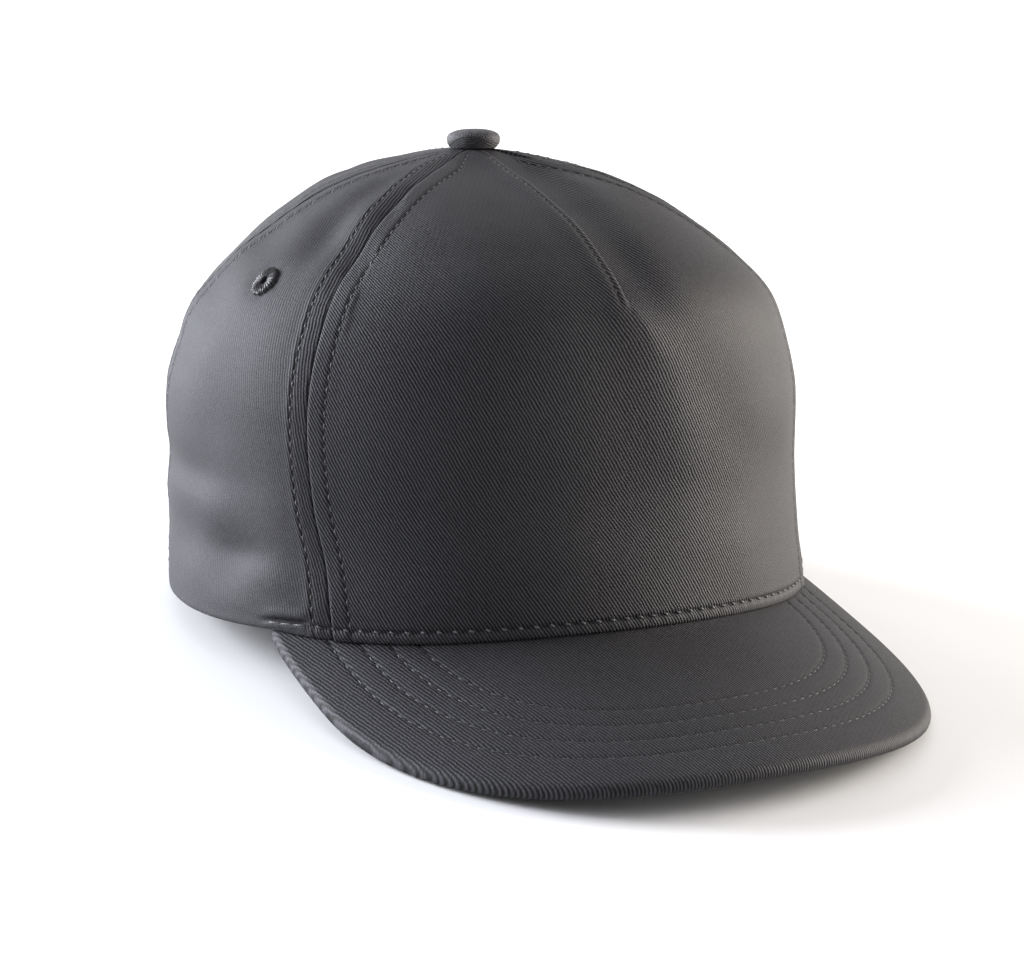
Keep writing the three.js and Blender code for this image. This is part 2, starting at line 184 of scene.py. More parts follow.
def direction(bearing: float, elevation: float) -> Array:
    """The way from the cap towards a bearing and an elevation, in degrees, as a unit vector."""
    a, e = math.radians(bearing), math.radians(elevation)
    return np.array([math.sin(a) * math.cos(e), -math.cos(a) * math.cos(e), math.sin(e)])


def waves(place: Array, lengths: Sequence[float], phase: float) -> Array:
    """An even sum of sines of several lengths, each started at its own point.

    Args:
        place: distance along the wave, in mm.
        lengths: the wavelengths, in mm.
        phase: what tells one pattern from another.

    Returns:
        Heights between about -1 and 1.
    """
    total = np.zeros_like(place)
    for order, length in enumerate(lengths, start=1):
        total = total + np.sin(2.0 * math.pi * place / length + phase * (1.7 * order + 0.6))
    return total / len(lengths)


@dataclass(frozen=True)
class Pose:
    """How the cap lies: tipped back by its tilt and moved so its box stands on the origin."""

    tilt: float = 10.19
    shift: Triple = (-0.0006, 25.0683, 14.8446)

    @property
    def turn(self) -> Array:
        """The rotation from the cap's frame to the scene's, as a 3 by 3 matrix."""
        cos, sin = math.cos(math.radians(-self.tilt)), math.sin(math.radians(-self.tilt))
        return np.array([[1.0, 0.0, 0.0], [0.0, cos, -sin], [0.0, sin, cos]])

    def place(self, points: Array) -> Array:
        """Takes points from the cap's frame in mm to the scene in metres."""
        return (points @ self.turn.T + np.array(self.shift)) * MM

    def aim(self, directions: Array) -> Array:
        """Turns directions from the cap's frame to the scene's."""
        return directions @ self.turn.T


@dataclass(frozen=True)
class BrimForm:
    """The brim's plan and its curved, drooping top face, all from the part's source."""

    thickness: float = 3.7
    length: float = 61.7
    half_width: float = 86.2
    widest_y: float = -66.0
    power: float = 2.1
    rear_reach: float = 164.0
    rear_share: float = 0.07
    lean_from: float = -40.0
    lean_reach: float = 70.0
    lean_most: float = 1.5
    lean_shift: float = 1.6
    lean_skew: float = 0.033
    root_bearing: float = 65.7
    front_drop: float = -7.45
    slope: float = 0.374
    arch: float = 0.0027
    tuck: float = 1.8
    first_row: float = 10.5
    row_pitch: float = 6.0
    rows: int = 4
    stitch_pitch: float = 3.6
    row_phase: float = 0.41
    sewn_y: float = -15.0

    def top(self, x: Array, y: Array, rim_front: float) -> Array:
        """Height of the top face: a slope towards the tip, less the square of x for the arch."""
        return self.front_drop + self.slope * (y + rim_front) - self.arch * x * x


@dataclass(frozen=True)
class Dent:
    """A soft hollow in the side of the crown."""

    bearing: float
    lift: float
    depth: float
    across: float
    high: float

    def hollow(self, bearing: Array, lift: Array) -> Array:
        """How deep the dent is: a bell round the crown times a bell up it."""
        return self.depth * bell(bearing, self.bearing, self.across) * bell(lift, self.lift, self.high)


@dataclass(frozen=True)
class CrownForm:
    """The crown's outer face from the part's source; the ridge below its dart is crisper here.

    bulge, dart_ridge and dart_valley hold a height, a place and a width. centre_ridge holds a height, a
    width, how far the ridge runs across and over how many degrees of lift.
    """

    rim_side: float = 93.0
    rim_front: float = 86.0
    rim_back: float = 92.0
    rim_power: float = 1.95
    top_power: float = 2.07
    back_rim_height: float = 0.5
    apex: Pair = (-3.2, 1.3)
    lift_step: float = 11.25
    front: tuple[float, ...] = (86.0, 85.5, 87.0, 98.0, 111.4, 112.9, 112.3, 113.2, 117.4)
    side: tuple[float, ...] = (93.0, 92.5, 98.0, 107.5, 114.4, 115.4, 116.6, 116.4, 117.4)
    back: tuple[float, ...] = (92.0, 100.0, 104.5, 105.5, 106.0, 112.6, 119.0, 118.7, 117.4)
    bulge: Triple = (1.8, 128.0, 32.0)
    seat_gap: float = 0.3
    front_seam: Triple = (53.3, 5.7, 4.1)
    rear_seam: Pair = (118.0, 26.3)
    dart_end: float = 46.0
    dart_ridge: Triple = (0.8, -3.0, 3.5)
    dart_valley: Triple = (1.8, 7.0, 7.0)
    centre_ridge: tuple[float, float, float, float] = (1.75, 8.0, 20.0, 22.0)
    dents: tuple[Dent, ...] = (Dent(-84.0, 27.0, 1.8, 17.0, 6.5), Dent(-80.0, 13.0, 1.6, 20.0, 5.0))
    brim: BrimForm = BrimForm()

    def section(self, line: Sequence[float], lift: Array) -> Array:
        """Distance from the rim's centre to the cloth along one line of the section table.

        Hermite pieces join the evenly spaced values with the slopes of their neighbours, level at the top.

        Args:
            line: the values of the front, side or back line.
            lift: the lifts to read.

        Returns:
            The distances in mm.
        """
        values = np.asarray(line)
        slopes = np.gradient(values)
        slopes[-1] = 0.0
        place = np.minimum(lift / self.lift_step, len(values) - 1 - 1e-6)
        index = np.floor(place).astype(int)
        t = place - index
        t2, t3 = t * t, t * t * t
        start = (2 * t3 - 3 * t2 + 1) * values[index] + (t3 - 2 * t2 + t) * slopes[index]
        return start + (3 * t2 - 2 * t3) * values[index + 1] + (t3 - t2) * slopes[index + 1]

    def rim(self, bearing: Array, inset: float = 0.0) -> tuple[Array, Array]:
        """The rim oval in plan: a superellipse with its own depth at the front and the back.

        Args:
            bearing: in degrees.
            inset: how far inside the oval, in mm.

        Returns:
            The x and y.
        """
        angle = np.radians(bearing)
        depth = np.where(np.cos(angle) > 0, self.rim_front, self.rim_back) - inset
        x = (self.rim_side - inset) * signed_power(np.sin(angle), 2 / self.rim_power)
        return x, -depth * signed_power(np.cos(angle), 2 / self.rim_power)

    @staticmethod
    def from_front(bearing: Array) -> Array:
        """The angle from the front, whichever way round."""
        return 180.0 - np.abs(180.0 - np.abs(bearing))

    def rim_height(self, bearing: Array) -> Array:
        """Height of the rim: it lies on the brim at the front and levels out towards the back.

        Args:
            bearing: in degrees.

        Returns:
            Heights in mm.
        """
        around = self.from_front(bearing)
        x, y = self.rim(np.minimum(around, self.brim.root_bearing))
        level = ease(self.brim.root_bearing, 180.0, around)
        resting = self.brim.top(x, y, self.rim_front)
        return resting * (1 - level) + self.back_rim_height * level + self.seat_gap

    def ring(self, lift: Array) -> Array:
        """Radius of the crown's ring at a lift, which turns bearings into lengths."""
        return self.section(self.side, lift) * np.cos(np.radians(lift))

    def large_relief(self, bearing: Array, lift: Array, ring: Array) -> Array:
        """The dart, the ridge below it and the side dents, as sums of bells in mm.

        Args:
            bearing: in degrees.
            lift: in degrees.
            ring: the ring's radius there.

        Returns:
            Heights above the plain crown.
        """
        across = np.radians(bearing) * ring
        start = self.dart_end - 6
        above = ease(start, self.dart_end + 8, lift) * (1 - ease(80.0, 90.0, lift))
        below = (1 - ease(start, self.dart_end + 5, lift)) * ease(4.0, 26.0, lift)
        height, offset, width = self.dart_ridge
        relief = above * height * bell(across, offset, width)
        depth, offset, width = self.dart_valley
        relief = relief - above * depth * bell(across, offset, width)
        height, width, _, _ = self.centre_ridge
        away = across - self.ridge_place(lift)
        relief = relief + below * height * bell(away, 0.0, width + 0.4 * self.ridge_place(lift))
        relief = np.where(np.abs(bearing) < self.front_seam[0], relief, 0.0)
        for dent in self.dents:
            relief = relief - dent.hollow(bearing, lift)
        return relief

    def ridge_place(self, lift: Array) -> Array:
        """How far across the middle line the soft ridge below the dart has run at a lift."""
        _, _, run, fall = self.centre_ridge
        return run * np.clip((self.dart_end - lift) / fall, 0.0, 1.0)

    def point(self, bearing: Array, lift: Array) -> Array:
        """Points of the crown's outer face.

        Each level is a superellipse with the section table's front, side and back radii. It leans on
        the rim's height low down and drifts to the button's place at the top.

        Args:
            bearing: in degrees.
            lift: in degrees, of the same shape.

        Returns:
            Points with a last axis of 3, in mm.
        """
        angle, rise = np.radians(bearing), np.radians(lift)
        sin, cos = np.sin(angle), np.cos(angle)
        climb, spread = np.sin(rise), np.cos(rise)
        depth, centre, width = self.bulge
        swollen = depth * bell(self.from_front(bearing), centre, width)
        swollen = swollen * np.sin(np.minimum(rise * 2.2, math.pi))
        side = self.section(self.side, lift) + swollen * sin * sin
        end = np.where(cos > 0, self.section(self.front, lift), self.section(self.back, lift))
        end = end + swollen * cos * cos
        power = self.rim_power + (self.top_power - self.rim_power) * climb
        swell = 1 + self.large_relief(bearing, lift, side * spread) / side
        x = swell * side * spread * signed_power(sin, 2 / power) + self.apex[0] * (1 - spread) ** 1.5
        y = -swell * end * spread * signed_power(cos, 2 / power) + self.apex[1] * (1 - spread)
        level = swell * climb * (side * sin * sin + end * cos * cos)
        return np.stack([x, y, level + self.rim_height(bearing) * spread * spread], axis=-1)

    def normal(self, bearing: Array, lift: Array) -> Array:
        """Outward unit normals, from the cross product of small steps round and up.

        Args:
            bearing: in degrees.
            lift: in degrees.

        Returns:
            Unit vectors.
        """
        step, highest = 0.4, 89.5
        below = np.maximum(lift - step, 0.0)
        above = np.minimum(lift + step, highest)
        round_ = self.point(bearing + step, lift) - self.point(bearing - step, lift)
        up = self.point(bearing, above) - self.point(bearing, below)
        return unit(np.cross(round_, up))

    def seam_bearing(self, number: int, lift: Array) -> Array:
        """Bearing of one of the five seams: the front ones bow, the rear ones gather to the top.

        Args:
            number: which of SEAMS.
            lift: in degrees.

        Returns:
            Bearings in degrees.
        """
        if number < 2:
            base, bow, pull = self.front_seam
            climb = np.sin(np.radians(lift))
            return (-1, 1)[number] * (base + bow * np.sin(2 * np.radians(lift)) - pull * climb**6)
        if number < 4:
            base, gather = self.rear_seam
            return (-1, 1)[number - 2] * (base - gather * np.sin(np.radians(lift)) ** 2)
        return np.full_like(lift, 180.0)

    def climb_length(self, lift: Array) -> Array:
        """Length of cloth from the rim up to a lift, along the side of the crown."""
        line = self.point(np.full_like(LADDER, 90.0), LADDER)
        return np.interp(lift, LADDER, running_length(line))

    def lift_at(self, length: Array) -> Array:
        """The lift that a length of cloth above the rim reaches."""
        return np.interp(length, self.climb_length(LADDER), LADDER)


@dataclass(frozen=True)
class Sewing:
    """The fine relief of the crown: what seams, stitches, hem and eyelets do to the cloth.

    The triples hold a height, a place or second height, and a width; drag and dart_step a height and
    the distance over which it fades; tuck a bearing and half a width, and tuck_height its line's ends.
    """

    crown: CrownForm
    allowance: float = 6.6
    row: float = 5.6
    full_ring: float = 24.0
    shoulder: float = 0.9
    stand: float = 0.55
    strip: float = 0.16
    front_share: float = 0.3
    seam_roll: float = 0.55
    drag: Pair = (0.16, 10.0)
    drag_waves: tuple[float, ...] = (13.0, 19.0, 8.3)
    dip: Triple = (0.2, 0.12, 0.5)
    puff: Triple = (0.07, 1.5, 0.9)
    seam_pitch: float = 3.1
    seam_phase: float = 0.37
    hem_row: float = 3.35
    hem_end: float = 59.0
    hem_pitch: float = 4.25
    hem_roll: Triple = (0.16, 1.6, 1.3)
    hem_dip: float = 0.16
    tuck: Pair = (63.3, 4.7)
    tuck_height: Pair = (3.3, 1.7)
    tuck_gather: Triple = (0.14, -1.4, 1.1)
    tuck_folds: tuple[Triple, ...] = ((0.45, 2.6, 1.5), (0.3, -0.3, 0.8), (-1.2, 0.75, 0.6))
    gather_pitch: float = 1.05
    dart_row: float = -2.1
    dart_pitch: float = 2.6
    dart_step: Pair = (1.05, 3.6)
    dart_lip: Triple = (0.28, -0.7, 0.6)
    crease: float = 0.45
    folds: tuple[Dent, ...] = (
        Dent(-98.0, 21.6, 1.8, 22.0, 3.2),
        Dent(-76.0, 11.6, 1.1, 9.0, 2.6),
        Dent(-70.0, 57.0, 1.5, 6.0, 8.0),
    )
    eyelet_lift: float = 48.5
    dimple: Triple = (0.42, 3.0, 3.6)

    def around(self, bearing: Array) -> Array:
        """Length round the rim from the front, in mm."""
        return np.radians(bearing) * self.crown.rim_side

    def across(self, bearing: Array, lift: Array) -> Array:
        """Length of cloth from the front's middle line, in mm."""
        return np.radians(bearing) * self.crown.ring(lift)

    def off_seam(self, number: int, bearing: Array, lift: Array) -> Array:
        """Signed length of cloth from a seam, positive towards the wearer's left."""
        turn = (bearing - self.crown.seam_bearing(number, lift) + 180.0) % 360.0 - 180.0
        return np.radians(turn) * self.crown.ring(lift)

    def gather(self, lift: Array) -> Array:
        """Share of its full width that a seam keeps where the panels run together at the top."""
        return np.minimum(1.0, self.crown.ring(lift) / self.full_ring)

    def rows(self, bearing: Array, lift: Array) -> tuple[Array, Array]:
        """The nearest row of stitches: how far off it is in mm and how many stitches along.

        Args:
            bearing: in degrees.
            lift: in degrees.

        Returns:
            The distance and the count, whose whole numbers fall on the needle's holes.
        """
        bearing, lift = np.broadcast_arrays(bearing, lift)
        up = self.crown.climb_length(lift)
        found = []
        for number in SEAMS:
            away = np.abs(self.off_seam(number, bearing, lift)) - self.row * self.gather(lift)
            found.append((away, up / self.seam_pitch + self.seam_phase * number, True))
        sewn = self.crown.from_front(bearing) < self.hem_end
        found.append((up - self.hem_row, self.around(bearing) / self.hem_pitch, sewn))
        darted = (lift > self.crown.dart_end) & (np.abs(bearing) < 40.0)
        found.append((self.across(bearing, lift) - self.dart_row, up / self.dart_pitch, darted))
        return nearest_row(found)

    def seams(self, bearing: Array, lift: Array) -> Array:
        """Heights of the five seams: a rolled edge, a raised strip, a drag, and a step at the front panel.

        Args:
            bearing: in degrees.
            lift: in degrees.

        Returns:
            Heights in mm.
        """
        along = self.crown.climb_length(lift)
        share = self.gather(lift)
        fade = share * (1 - ease(82.0, 88.0, lift))
        height = np.zeros(np.broadcast(bearing, lift).shape)
        pull, reach = self.drag
        for number in SEAMS:
            off = self.off_seam(number, bearing, lift) / share
            away = np.abs(off)
            outside = off * (-1, 1)[number % 2] > 0
            soft = np.where((number >= 2) | outside, 1.0, self.front_share)
            strip = self.strip * soft * (1 - ease(self.allowance - 0.9, self.allowance + 0.9, away))
            rolled = -self.seam_roll * bell(away, 0.0, self.seam_roll)
            drag = pull * soft * waves(along, self.drag_waves, 1.3 + number) * np.exp(-away / reach)
            height = height + fade * (strip + rolled + drag * ease(0.4, 2.0, away))
            if number < 2:
                near = 1 - np.clip(away / self.allowance, 0.0, 1.0)
                height = height + fade * np.where(outside, -self.shoulder * near, self.stand * near)
        return height

    def stitches(self, bearing: Array, lift: Array) -> Array:
        """Heights beside the rows of stitches: a drawn-in line that dips most at the holes.

        Args:
            bearing: in degrees.
            lift: in degrees.

        Returns:
            Heights in mm.
        """
        gap, beat = self.rows(bearing, lift)
        share = self.gather(lift)
        pulse = needle_pulse(beat)
        shallow, deeper, width = self.dip
        drawn = -(shallow + deeper * pulse) * bell(gap, 0.0, width)
        height, beside, width = self.puff
        puff = height * (1 - pulse) * (bell(gap, -beside, width) + bell(gap, beside, width))
        return share * (drawn + puff) * (1 - ease(84.0, 88.0, lift))

    def tuck_line(self, bearing: Array) -> Array:
        """Height above the rim of the tuck's fold, which sinks away from the front.

        Args:
            bearing: in degrees.

        Returns:
            Heights in mm.
        """
        place, width = self.tuck
        share = np.clip((self.crown.from_front(bearing) - place) / (2 * width) + 0.5, 0.0, 1.0)
        near, far = self.tuck_height
        return near + (far - near) * share

    def hem(self, bearing: Array, lift: Array) -> Array:
        """Heights of the hem: a rolled edge below the stitches, and a gathered tuck at each end.

        Args:
            bearing: in degrees.
            lift: in degrees.

        Returns:
            Heights in mm.
        """
        above = self.crown.climb_length(lift)
        around = self.around(bearing)
        front = self.crown.from_front(bearing)
        sewn = 1 - ease(self.hem_end - 3.0, self.hem_end + 3.0, front)
        height, middle, width = self.hem_roll
        roll = height * bell(above, middle, width)
        pulse = 0.5 - 0.5 * np.cos(2 * math.pi * around / self.hem_pitch)
        dip = -self.hem_dip * bell(above, self.hem_row, 0.7)
        dip = dip + self.hem_dip * pulse * bell(above, self.hem_row - 0.9, 0.9)
        place, width = self.tuck
        tucked = ease(place - width - 0.8, place - width + 0.8, front)
        tucked = tucked * (1 - ease(place + width - 3.0, place + width + 1.0, front))
        line = self.tuck_line(bearing)
        fold = sum(high * bell(above, line + middle, width) for high, middle, width in self.tuck_folds)
        height, middle, width = self.tuck_gather
        gathers = height * np.sin(2 * math.pi * around / self.gather_pitch)
        gathers = gathers * bell(above, line + middle, width)
        return sewn * (roll + dip) + tucked * (fold + gathers)

    def dart(self, bearing: Array, lift: Array) -> Array:
        """Heights of the dart's folded edge and of the crisp start of the ridge below it.

        Args:
            bearing: in degrees.
            lift: in degrees.

        Returns:
            Heights in mm.
        """
        across = self.across(bearing, lift)
        end = self.crown.dart_end
        sewn = ease(end - 1.5, end + 3.0, lift) * (1 - ease(84.0, 88.5, lift)) * self.gather(lift)
        drop, reach = self.dart_step
        step = -drop * ease(-0.4, 0.25, across) * np.exp(-np.maximum(across, 0.0) / reach)
        height, middle, width = self.dart_lip
        lip = height * bell(across, middle, width)
        below = (1 - ease(end - 2.0, end + 1.0, lift)) * ease(end - 9.0, end - 2.0, lift)
        away = across - self.crown.ridge_place(lift)
        crease = below * self.crease * np.exp(-np.abs(away) / (2.0 + 0.5 * (end - lift).clip(0.0)))
        front = np.abs(bearing) < self.crown.front_seam[0]
        return np.where(front, sewn * (step + lip) + crease, 0.0)

    def eyelets(self, bearing: Array, lift: Array) -> Array:
        """Heights of the dimples that the eyelets draw into the cloth.

        Args:
            bearing: in degrees.
            lift: in degrees.

        Returns:
            Heights in mm.
        """
        height = np.zeros(np.broadcast(bearing, lift).shape)
        up = self.crown.climb_length(lift) - self.crown.climb_length(np.float64(self.eyelet_lift))
        depth, middle, width = self.dimple
        for centre in [side.value * flank.bearing for flank in Flank for side in Side]:
            across = self.across(bearing - centre, lift)
            away = np.hypot(across, up)
            pulls = 1 + 0.35 * np.cos(6 * np.arctan2(up, across) + 1.0) * ease(3.0, 7.0, away)
            height = height - depth * bell(away, middle, width) * pulls
        return height

    def softness(self, bearing: Array, lift: Array) -> Array:
        """Slow unevenness of the cloth, less on the stiffened front.

        Args:
            bearing: in degrees.
            lift: in degrees.

        Returns:
            Heights in mm.
        """
        around, up = self.around(bearing), self.crown.climb_length(lift)
        stiff = 1 - 0.75 * (np.abs(bearing) < self.crown.front_seam[0])
        slow = waves(around + 0.6 * up, (61.0, 37.0), 0.8) * waves(up - 0.3 * around, (53.0, 34.0), 2.1)
        height = 0.7 * stiff * slow * (1 - ease(70.0, 84.0, lift)) * ease(4.0, 14.0, up)
        for fold in self.folds:
            height = height - fold.hollow(bearing, lift)
        return height

    def height(self, bearing: Array, lift: Array) -> Array:
        """All the fine relief together, in mm above the crown's form."""
        parts = (self.seams, self.stitches, self.hem, self.dart, self.eyelets, self.softness)
        return sum(part(bearing, lift) for part in parts)

    def surface(self, bearing: Array, lift: Array, above: Array | float = 0.0) -> Array:
        """Points on the dressed cloth, or a distance above it along the normal, in mm."""
        height = np.asarray(self.height(bearing, lift) + above)
        return self.crown.point(bearing, lift) + self.crown.normal(bearing, lift) * height[..., None]


class Socket:
    """One output of a shader node, on which arithmetic adds Math nodes."""

    def __init__(self, graph: Graph, socket: bpy.types.NodeSocket) -> None:
        """Wraps a socket of the graph."""
        self.graph = graph
        self.socket = socket

    def _math(self, operation: str, *others: Socket | float) -> Socket:
        """Adds a Math node with this socket first."""
        return self.graph.node("Math", {"operation": operation}, (self, *others))

    def __add__(self, other: Socket | float) -> Socket:
        """Sum."""
        return self._math("ADD", other)

    __radd__ = __add__

    def __sub__(self, other: Socket | float) -> Socket:
        """Difference."""
        return self._math("SUBTRACT", other)

    def __rsub__(self, other: float) -> Socket:
        """Difference from a number."""
        return self.graph.node("Math", {"operation": "SUBTRACT"}, (other, self))

    def __mul__(self, other: Socket | float) -> Socket:
        """Product."""
        return self._math("MULTIPLY", other)

    __rmul__ = __mul__

    def cosine(self) -> Socket:
        """Cosine, of radians."""
        return self._math("COSINE")

    def floor(self) -> Socket:
        """Whole part."""
        return self._math("FLOOR")

    def size(self) -> Socket:
        """Size without the sign."""
        return self._math("ABSOLUTE")

    def clamp(self) -> Socket:
        """Held between 0 and 1."""
        return self.graph.node("Math", {"operation": "ADD", "use_clamp": True}, (self, 0.0))

    def power(self, exponent: float) -> Socket:
        """Raised to a power."""
        return self._math("POWER", exponent)


class Graph:
    """The node tree of a material or a world, with one way to add a node."""

    def __init__(self, owner: Material | bpy.types.World) -> None:
        """Empties the owner's tree.

        Args:
            owner: the material or world.
        """
        self.owner = owner
        owner.use_nodes = True
        self.tree = owner.node_tree
        self.tree.nodes.clear()

    @classmethod
    def material(cls, name: str) -> Graph:
        """The graph of a new material."""
        return cls(bpy.data.materials.new(name))

    def node(self, kind: str, settings: dict, values: dict | Sequence, output: int | str = 0) -> Socket:
        """Adds a node, sets it up and feeds it.

        Args:
            kind: the node's type without its ShaderNode prefix.
            settings: attributes that are set first.
            values: numbers or sockets for its inputs, by name or in order.
            output: which output to hand back.

        Returns:
            The chosen output.
        """
        node = self.tree.nodes.new("ShaderNode" + kind)
        for key, value in settings.items():
            setattr(node, key, value)
        pairs = values.items() if isinstance(values, dict) else enumerate(values)
        for key, value in pairs:
            if isinstance(value, Socket):
                self.tree.links.new(value.socket, node.inputs[key])
            else:
                node.inputs[key].default_value = value
        return Socket(self, node.outputs[output])

    def mark(self, name: str) -> Socket:
        """A number that the mesh carries at its points."""
        return self.node("Attribute", {"attribute_name": name}, {}, "Fac")

    def place(self) -> Socket:
        """The place in the object, in metres."""
        return self.node("TexCoord", {}, {}, "Object")

    def cloth(self) -> tuple[Socket, Socket, Socket]:
        """The cloth's own map in mm: its vector, its width and its height.

        Returns:
            The vector, the width and the height.
        """
        vector = self.node("UVMap", {"uv_map": "cloth"}, {})
        wide = self.node("SeparateXYZ", {}, (vector,))
        high = Socket(self, wide.socket.node.outputs["Y"])
        return vector, wide, high

    def mix(self, share: Socket | float, low: Socket | tuple, high: Socket | tuple) -> Socket:
        """Blends two colours by the share of the second."""
        settings = {"data_type": "RGBA", "clamp_factor": True}
        return self.node("Mix", settings, {0: share, 6: low, 7: high}, 2)

    def noise(self, coordinates: Socket, scale: float, detail: float = 2.0) -> Socket:
        """A noise between 0 and 1 at a scale in repeats per coordinate unit."""
        values = {"Vector": coordinates, "Scale": scale, "Detail": detail}
        return self.node("TexNoise", {}, values)

    def bump(self, height: Socket, depth: float) -> Socket:
        """A normal from a height between 0 and 1 that stands for a depth in mm."""
        return self.node("Bump", {}, {"Height": height, "Strength": 1.0, "Distance": depth * MM})

    def surface(self, values: dict) -> Material:
        """Ends a material in one Principled shader.

        Args:
            values: its inputs by name.

        Returns:
            The finished material.
        """
        shader = self.node("BsdfPrincipled", {}, values)
        out = self.tree.nodes.new("ShaderNodeOutputMaterial")
        self.tree.links.new(shader.socket, out.inputs["Surface"])
        return self.owner


@dataclass(frozen=True)
class TwillFinish:
    """Cotton twill: slanted ribs of thread, darker between them, a little uneven, with painted highlight
    along folds and edges.

    The rib fading, 0 to 1, is added to the mesh's mark of the same name: fainter ribs and a stronger
    mottle, on the crown's panels a lit copy of the twill painted where the lights wash the ribs out.
    wander holds the scale and reach of the ribs' drift, speckle the repeats per mm of fleck, slub and
    slow tint.
    """

    name: str
    grain: Grain
    float_length: float = 1.3
    float_shift: float = 0.38
    wander: Pair = (0.3, 0.6)
    speckle: Triple = (2.3, 0.55, 0.03)
    rib: Colour = (0.0575, 0.056, 0.0645, 1.0)
    groove: Colour = (0.0008, 0.0008, 0.001, 1.0)
    # Colour of the painted highlight along folds and edges
    worn: Colour = (0.085, 0.083, 0.088, 1.0)
    # Colour of the painted shade in the needle's holes and under each stitch
    black: Colour = (0.002, 0.002, 0.002, 1.0)
    hole_shade: float = 0.7
    dash_shade: float = 0.35
    roughness: float = 0.66
    specular: float = 0.26
    relief: float = 0.17
    nap: float = 0.0

    def material(self) -> Material:
        """Builds the twill.

        A cosine across the ribs, on the cloth's own map in mm, is broken along them into floats that
        shift from rib to rib. Noise wanders and tints them, and the rib fading, painted on the crown's
        panels where the lights wash the ribs out, flattens them. A mark paints highlight on folds and
        edges, and the marks of the stitch rows paint shade into the needle's holes and along the line
        under each stitch.

        Returns:
            The material.
        """
        graph = Graph.material(self.name)
        cloth, wide, high = graph.cloth()
        slant, pitch = self.grain.value
        sin, cos = math.sin(math.radians(slant)), math.cos(math.radians(slant))
        scale, reach = self.wander
        across = wide * sin + high * cos + (graph.noise(cloth, scale, 1.0) - 0.5) * reach
        along = wide * cos - high * sin
        rib = (across * (2 * math.pi / pitch)).cosine() * 0.5 + 0.5
        row = (across * (1 / pitch) + 0.5).floor()
        beat = along * (1 / self.float_length) + row * self.float_shift
        thread = rib * (0.78 + ((beat * (2 * math.pi)).cosine() * 0.5 + 0.5) * 0.22)
        fleck, slub, slow = (graph.noise(cloth, scale, 2.0) for scale in self.speckle)
        # Rib fading: a lit copy of the twill, with fainter ribs and a stronger mottle where the lights wash
        # the ribs out
        nap = (graph.mark("nap") + self.nap).clamp()
        crisp = 1.0 - nap * 0.85
        mottle = (fleck - 0.5) * (nap * 0.6 + 0.75) + (slub - 0.5) * 0.4 + (slow - 0.5) * 0.25
        tone = (thread - 0.42) * crisp * 1.7 + mottle + 0.38
        colour = graph.mix(tone.clamp(), self.groove, self.rib)
        # Painted highlight on folds, seam edges, the hem's roll, the brim's edge and the button's fold
        # crests, made uneven by the fleck
        colour = graph.mix((graph.mark("worn") * (0.45 + fleck * 0.8)).clamp(), colour, self.worn)
        # Painted shade: the needle's holes and the line under each stitch darken towards black
        near = (1.0 - graph.mark("row_gap").size() * 1.75).clamp()
        pulse = (graph.mark("row_beat") * (2 * math.pi)).cosine() * 0.5 + 0.5
        shade = near * (pulse.power(6.0) * self.hole_shade + (1.0 - pulse) * self.dash_shade)
        colour = graph.mix(shade.clamp(), colour, self.black)
        return graph.surface({
            "Base Color": colour,
            "Roughness": self.roughness,
            "Specular IOR Level": self.specular,
            "Normal": graph.bump(thread * crisp + (fleck - 0.5) * 0.6, self.relief),
        })


@dataclass(frozen=True)
class ThreadFinish:
    """Sewing thread: fine twisted plies, read along each stitch's own map."""

    name: str
    light: Colour
    dark: Colour
    roughness: float = 0.5

    def material(self) -> Material:
        """Builds the thread: a slanted cosine for the plies and noise for its unevenness.

        Returns:
            The material.
        """
        graph = Graph.material(self.name)
        _, wide, high = graph.cloth()
        ply = ((wide * 9.0 + high * 2.0) * math.pi).cosine() * 0.5 + 0.5
        uneven = graph.noise(graph.place(), 900.0, 2.0)
        return graph.surface({
            "Base Color": graph.mix((ply * 0.6 + uneven * 0.4).clamp(), self.dark, self.light),
            "Roughness": self.roughness,
            "Specular IOR Level": 0.4,
            "Normal": graph.bump(ply, 0.04),
        })


@dataclass(frozen=True)
class LiningFinish:
    """The sweatband's plain cotton, a close over-and-under weave."""

    name: str = "plain cotton band"
    light: Colour = (0.05, 0.05, 0.056, 1.0)
    dark: Colour = (0.016, 0.016, 0.019, 1.0)
    pitch: float = 0.9

    def material(self) -> Material:
        """Builds the weave from the product of two cosines at right angles.

        Returns:
            The material.
        """
        graph = Graph.material(self.name)
        cloth, wide, high = graph.cloth()
        turn = 2 * math.pi / self.pitch
        weave = (wide * turn).cosine() * (high * turn).cosine() * 0.5 + 0.5
        uneven = graph.noise(cloth, 0.8, 3.0)
        return graph.surface({
            "Base Color": graph.mix((weave * 0.6 + uneven * 0.5 - 0.05).clamp(), self.dark, self.light),
            "Roughness": 0.85,
            "Specular IOR Level": 0.3,
            "Normal": graph.bump(weave, 0.08),
        })


@dataclass(frozen=True)
class PlasticFinish:
    """The strap's moulded plastic, satin with faint mould grain and scuffs."""

    name: str = "moulded black plastic"
    colour: Colour = (0.012, 0.012, 0.0135, 1.0)
    scuffed: Colour = (0.03, 0.03, 0.033, 1.0)

    def material(self) -> Material:
        """Builds the plastic: fine grain in the bump, slow scuffs in colour and roughness.

        Returns:
            The material.
        """
        graph = Graph.material(self.name)
        place = graph.place()
        scuff = graph.noise(place, 130.0, 4.0)
        return graph.surface({
            "Base Color": graph.mix((scuff * 2.2 - 0.9).clamp(), self.colour, self.scuffed),
            "Roughness": scuff * 0.25 + 0.28,
            "Normal": graph.bump(graph.noise(place, 2600.0, 3.0), 0.02),
        })


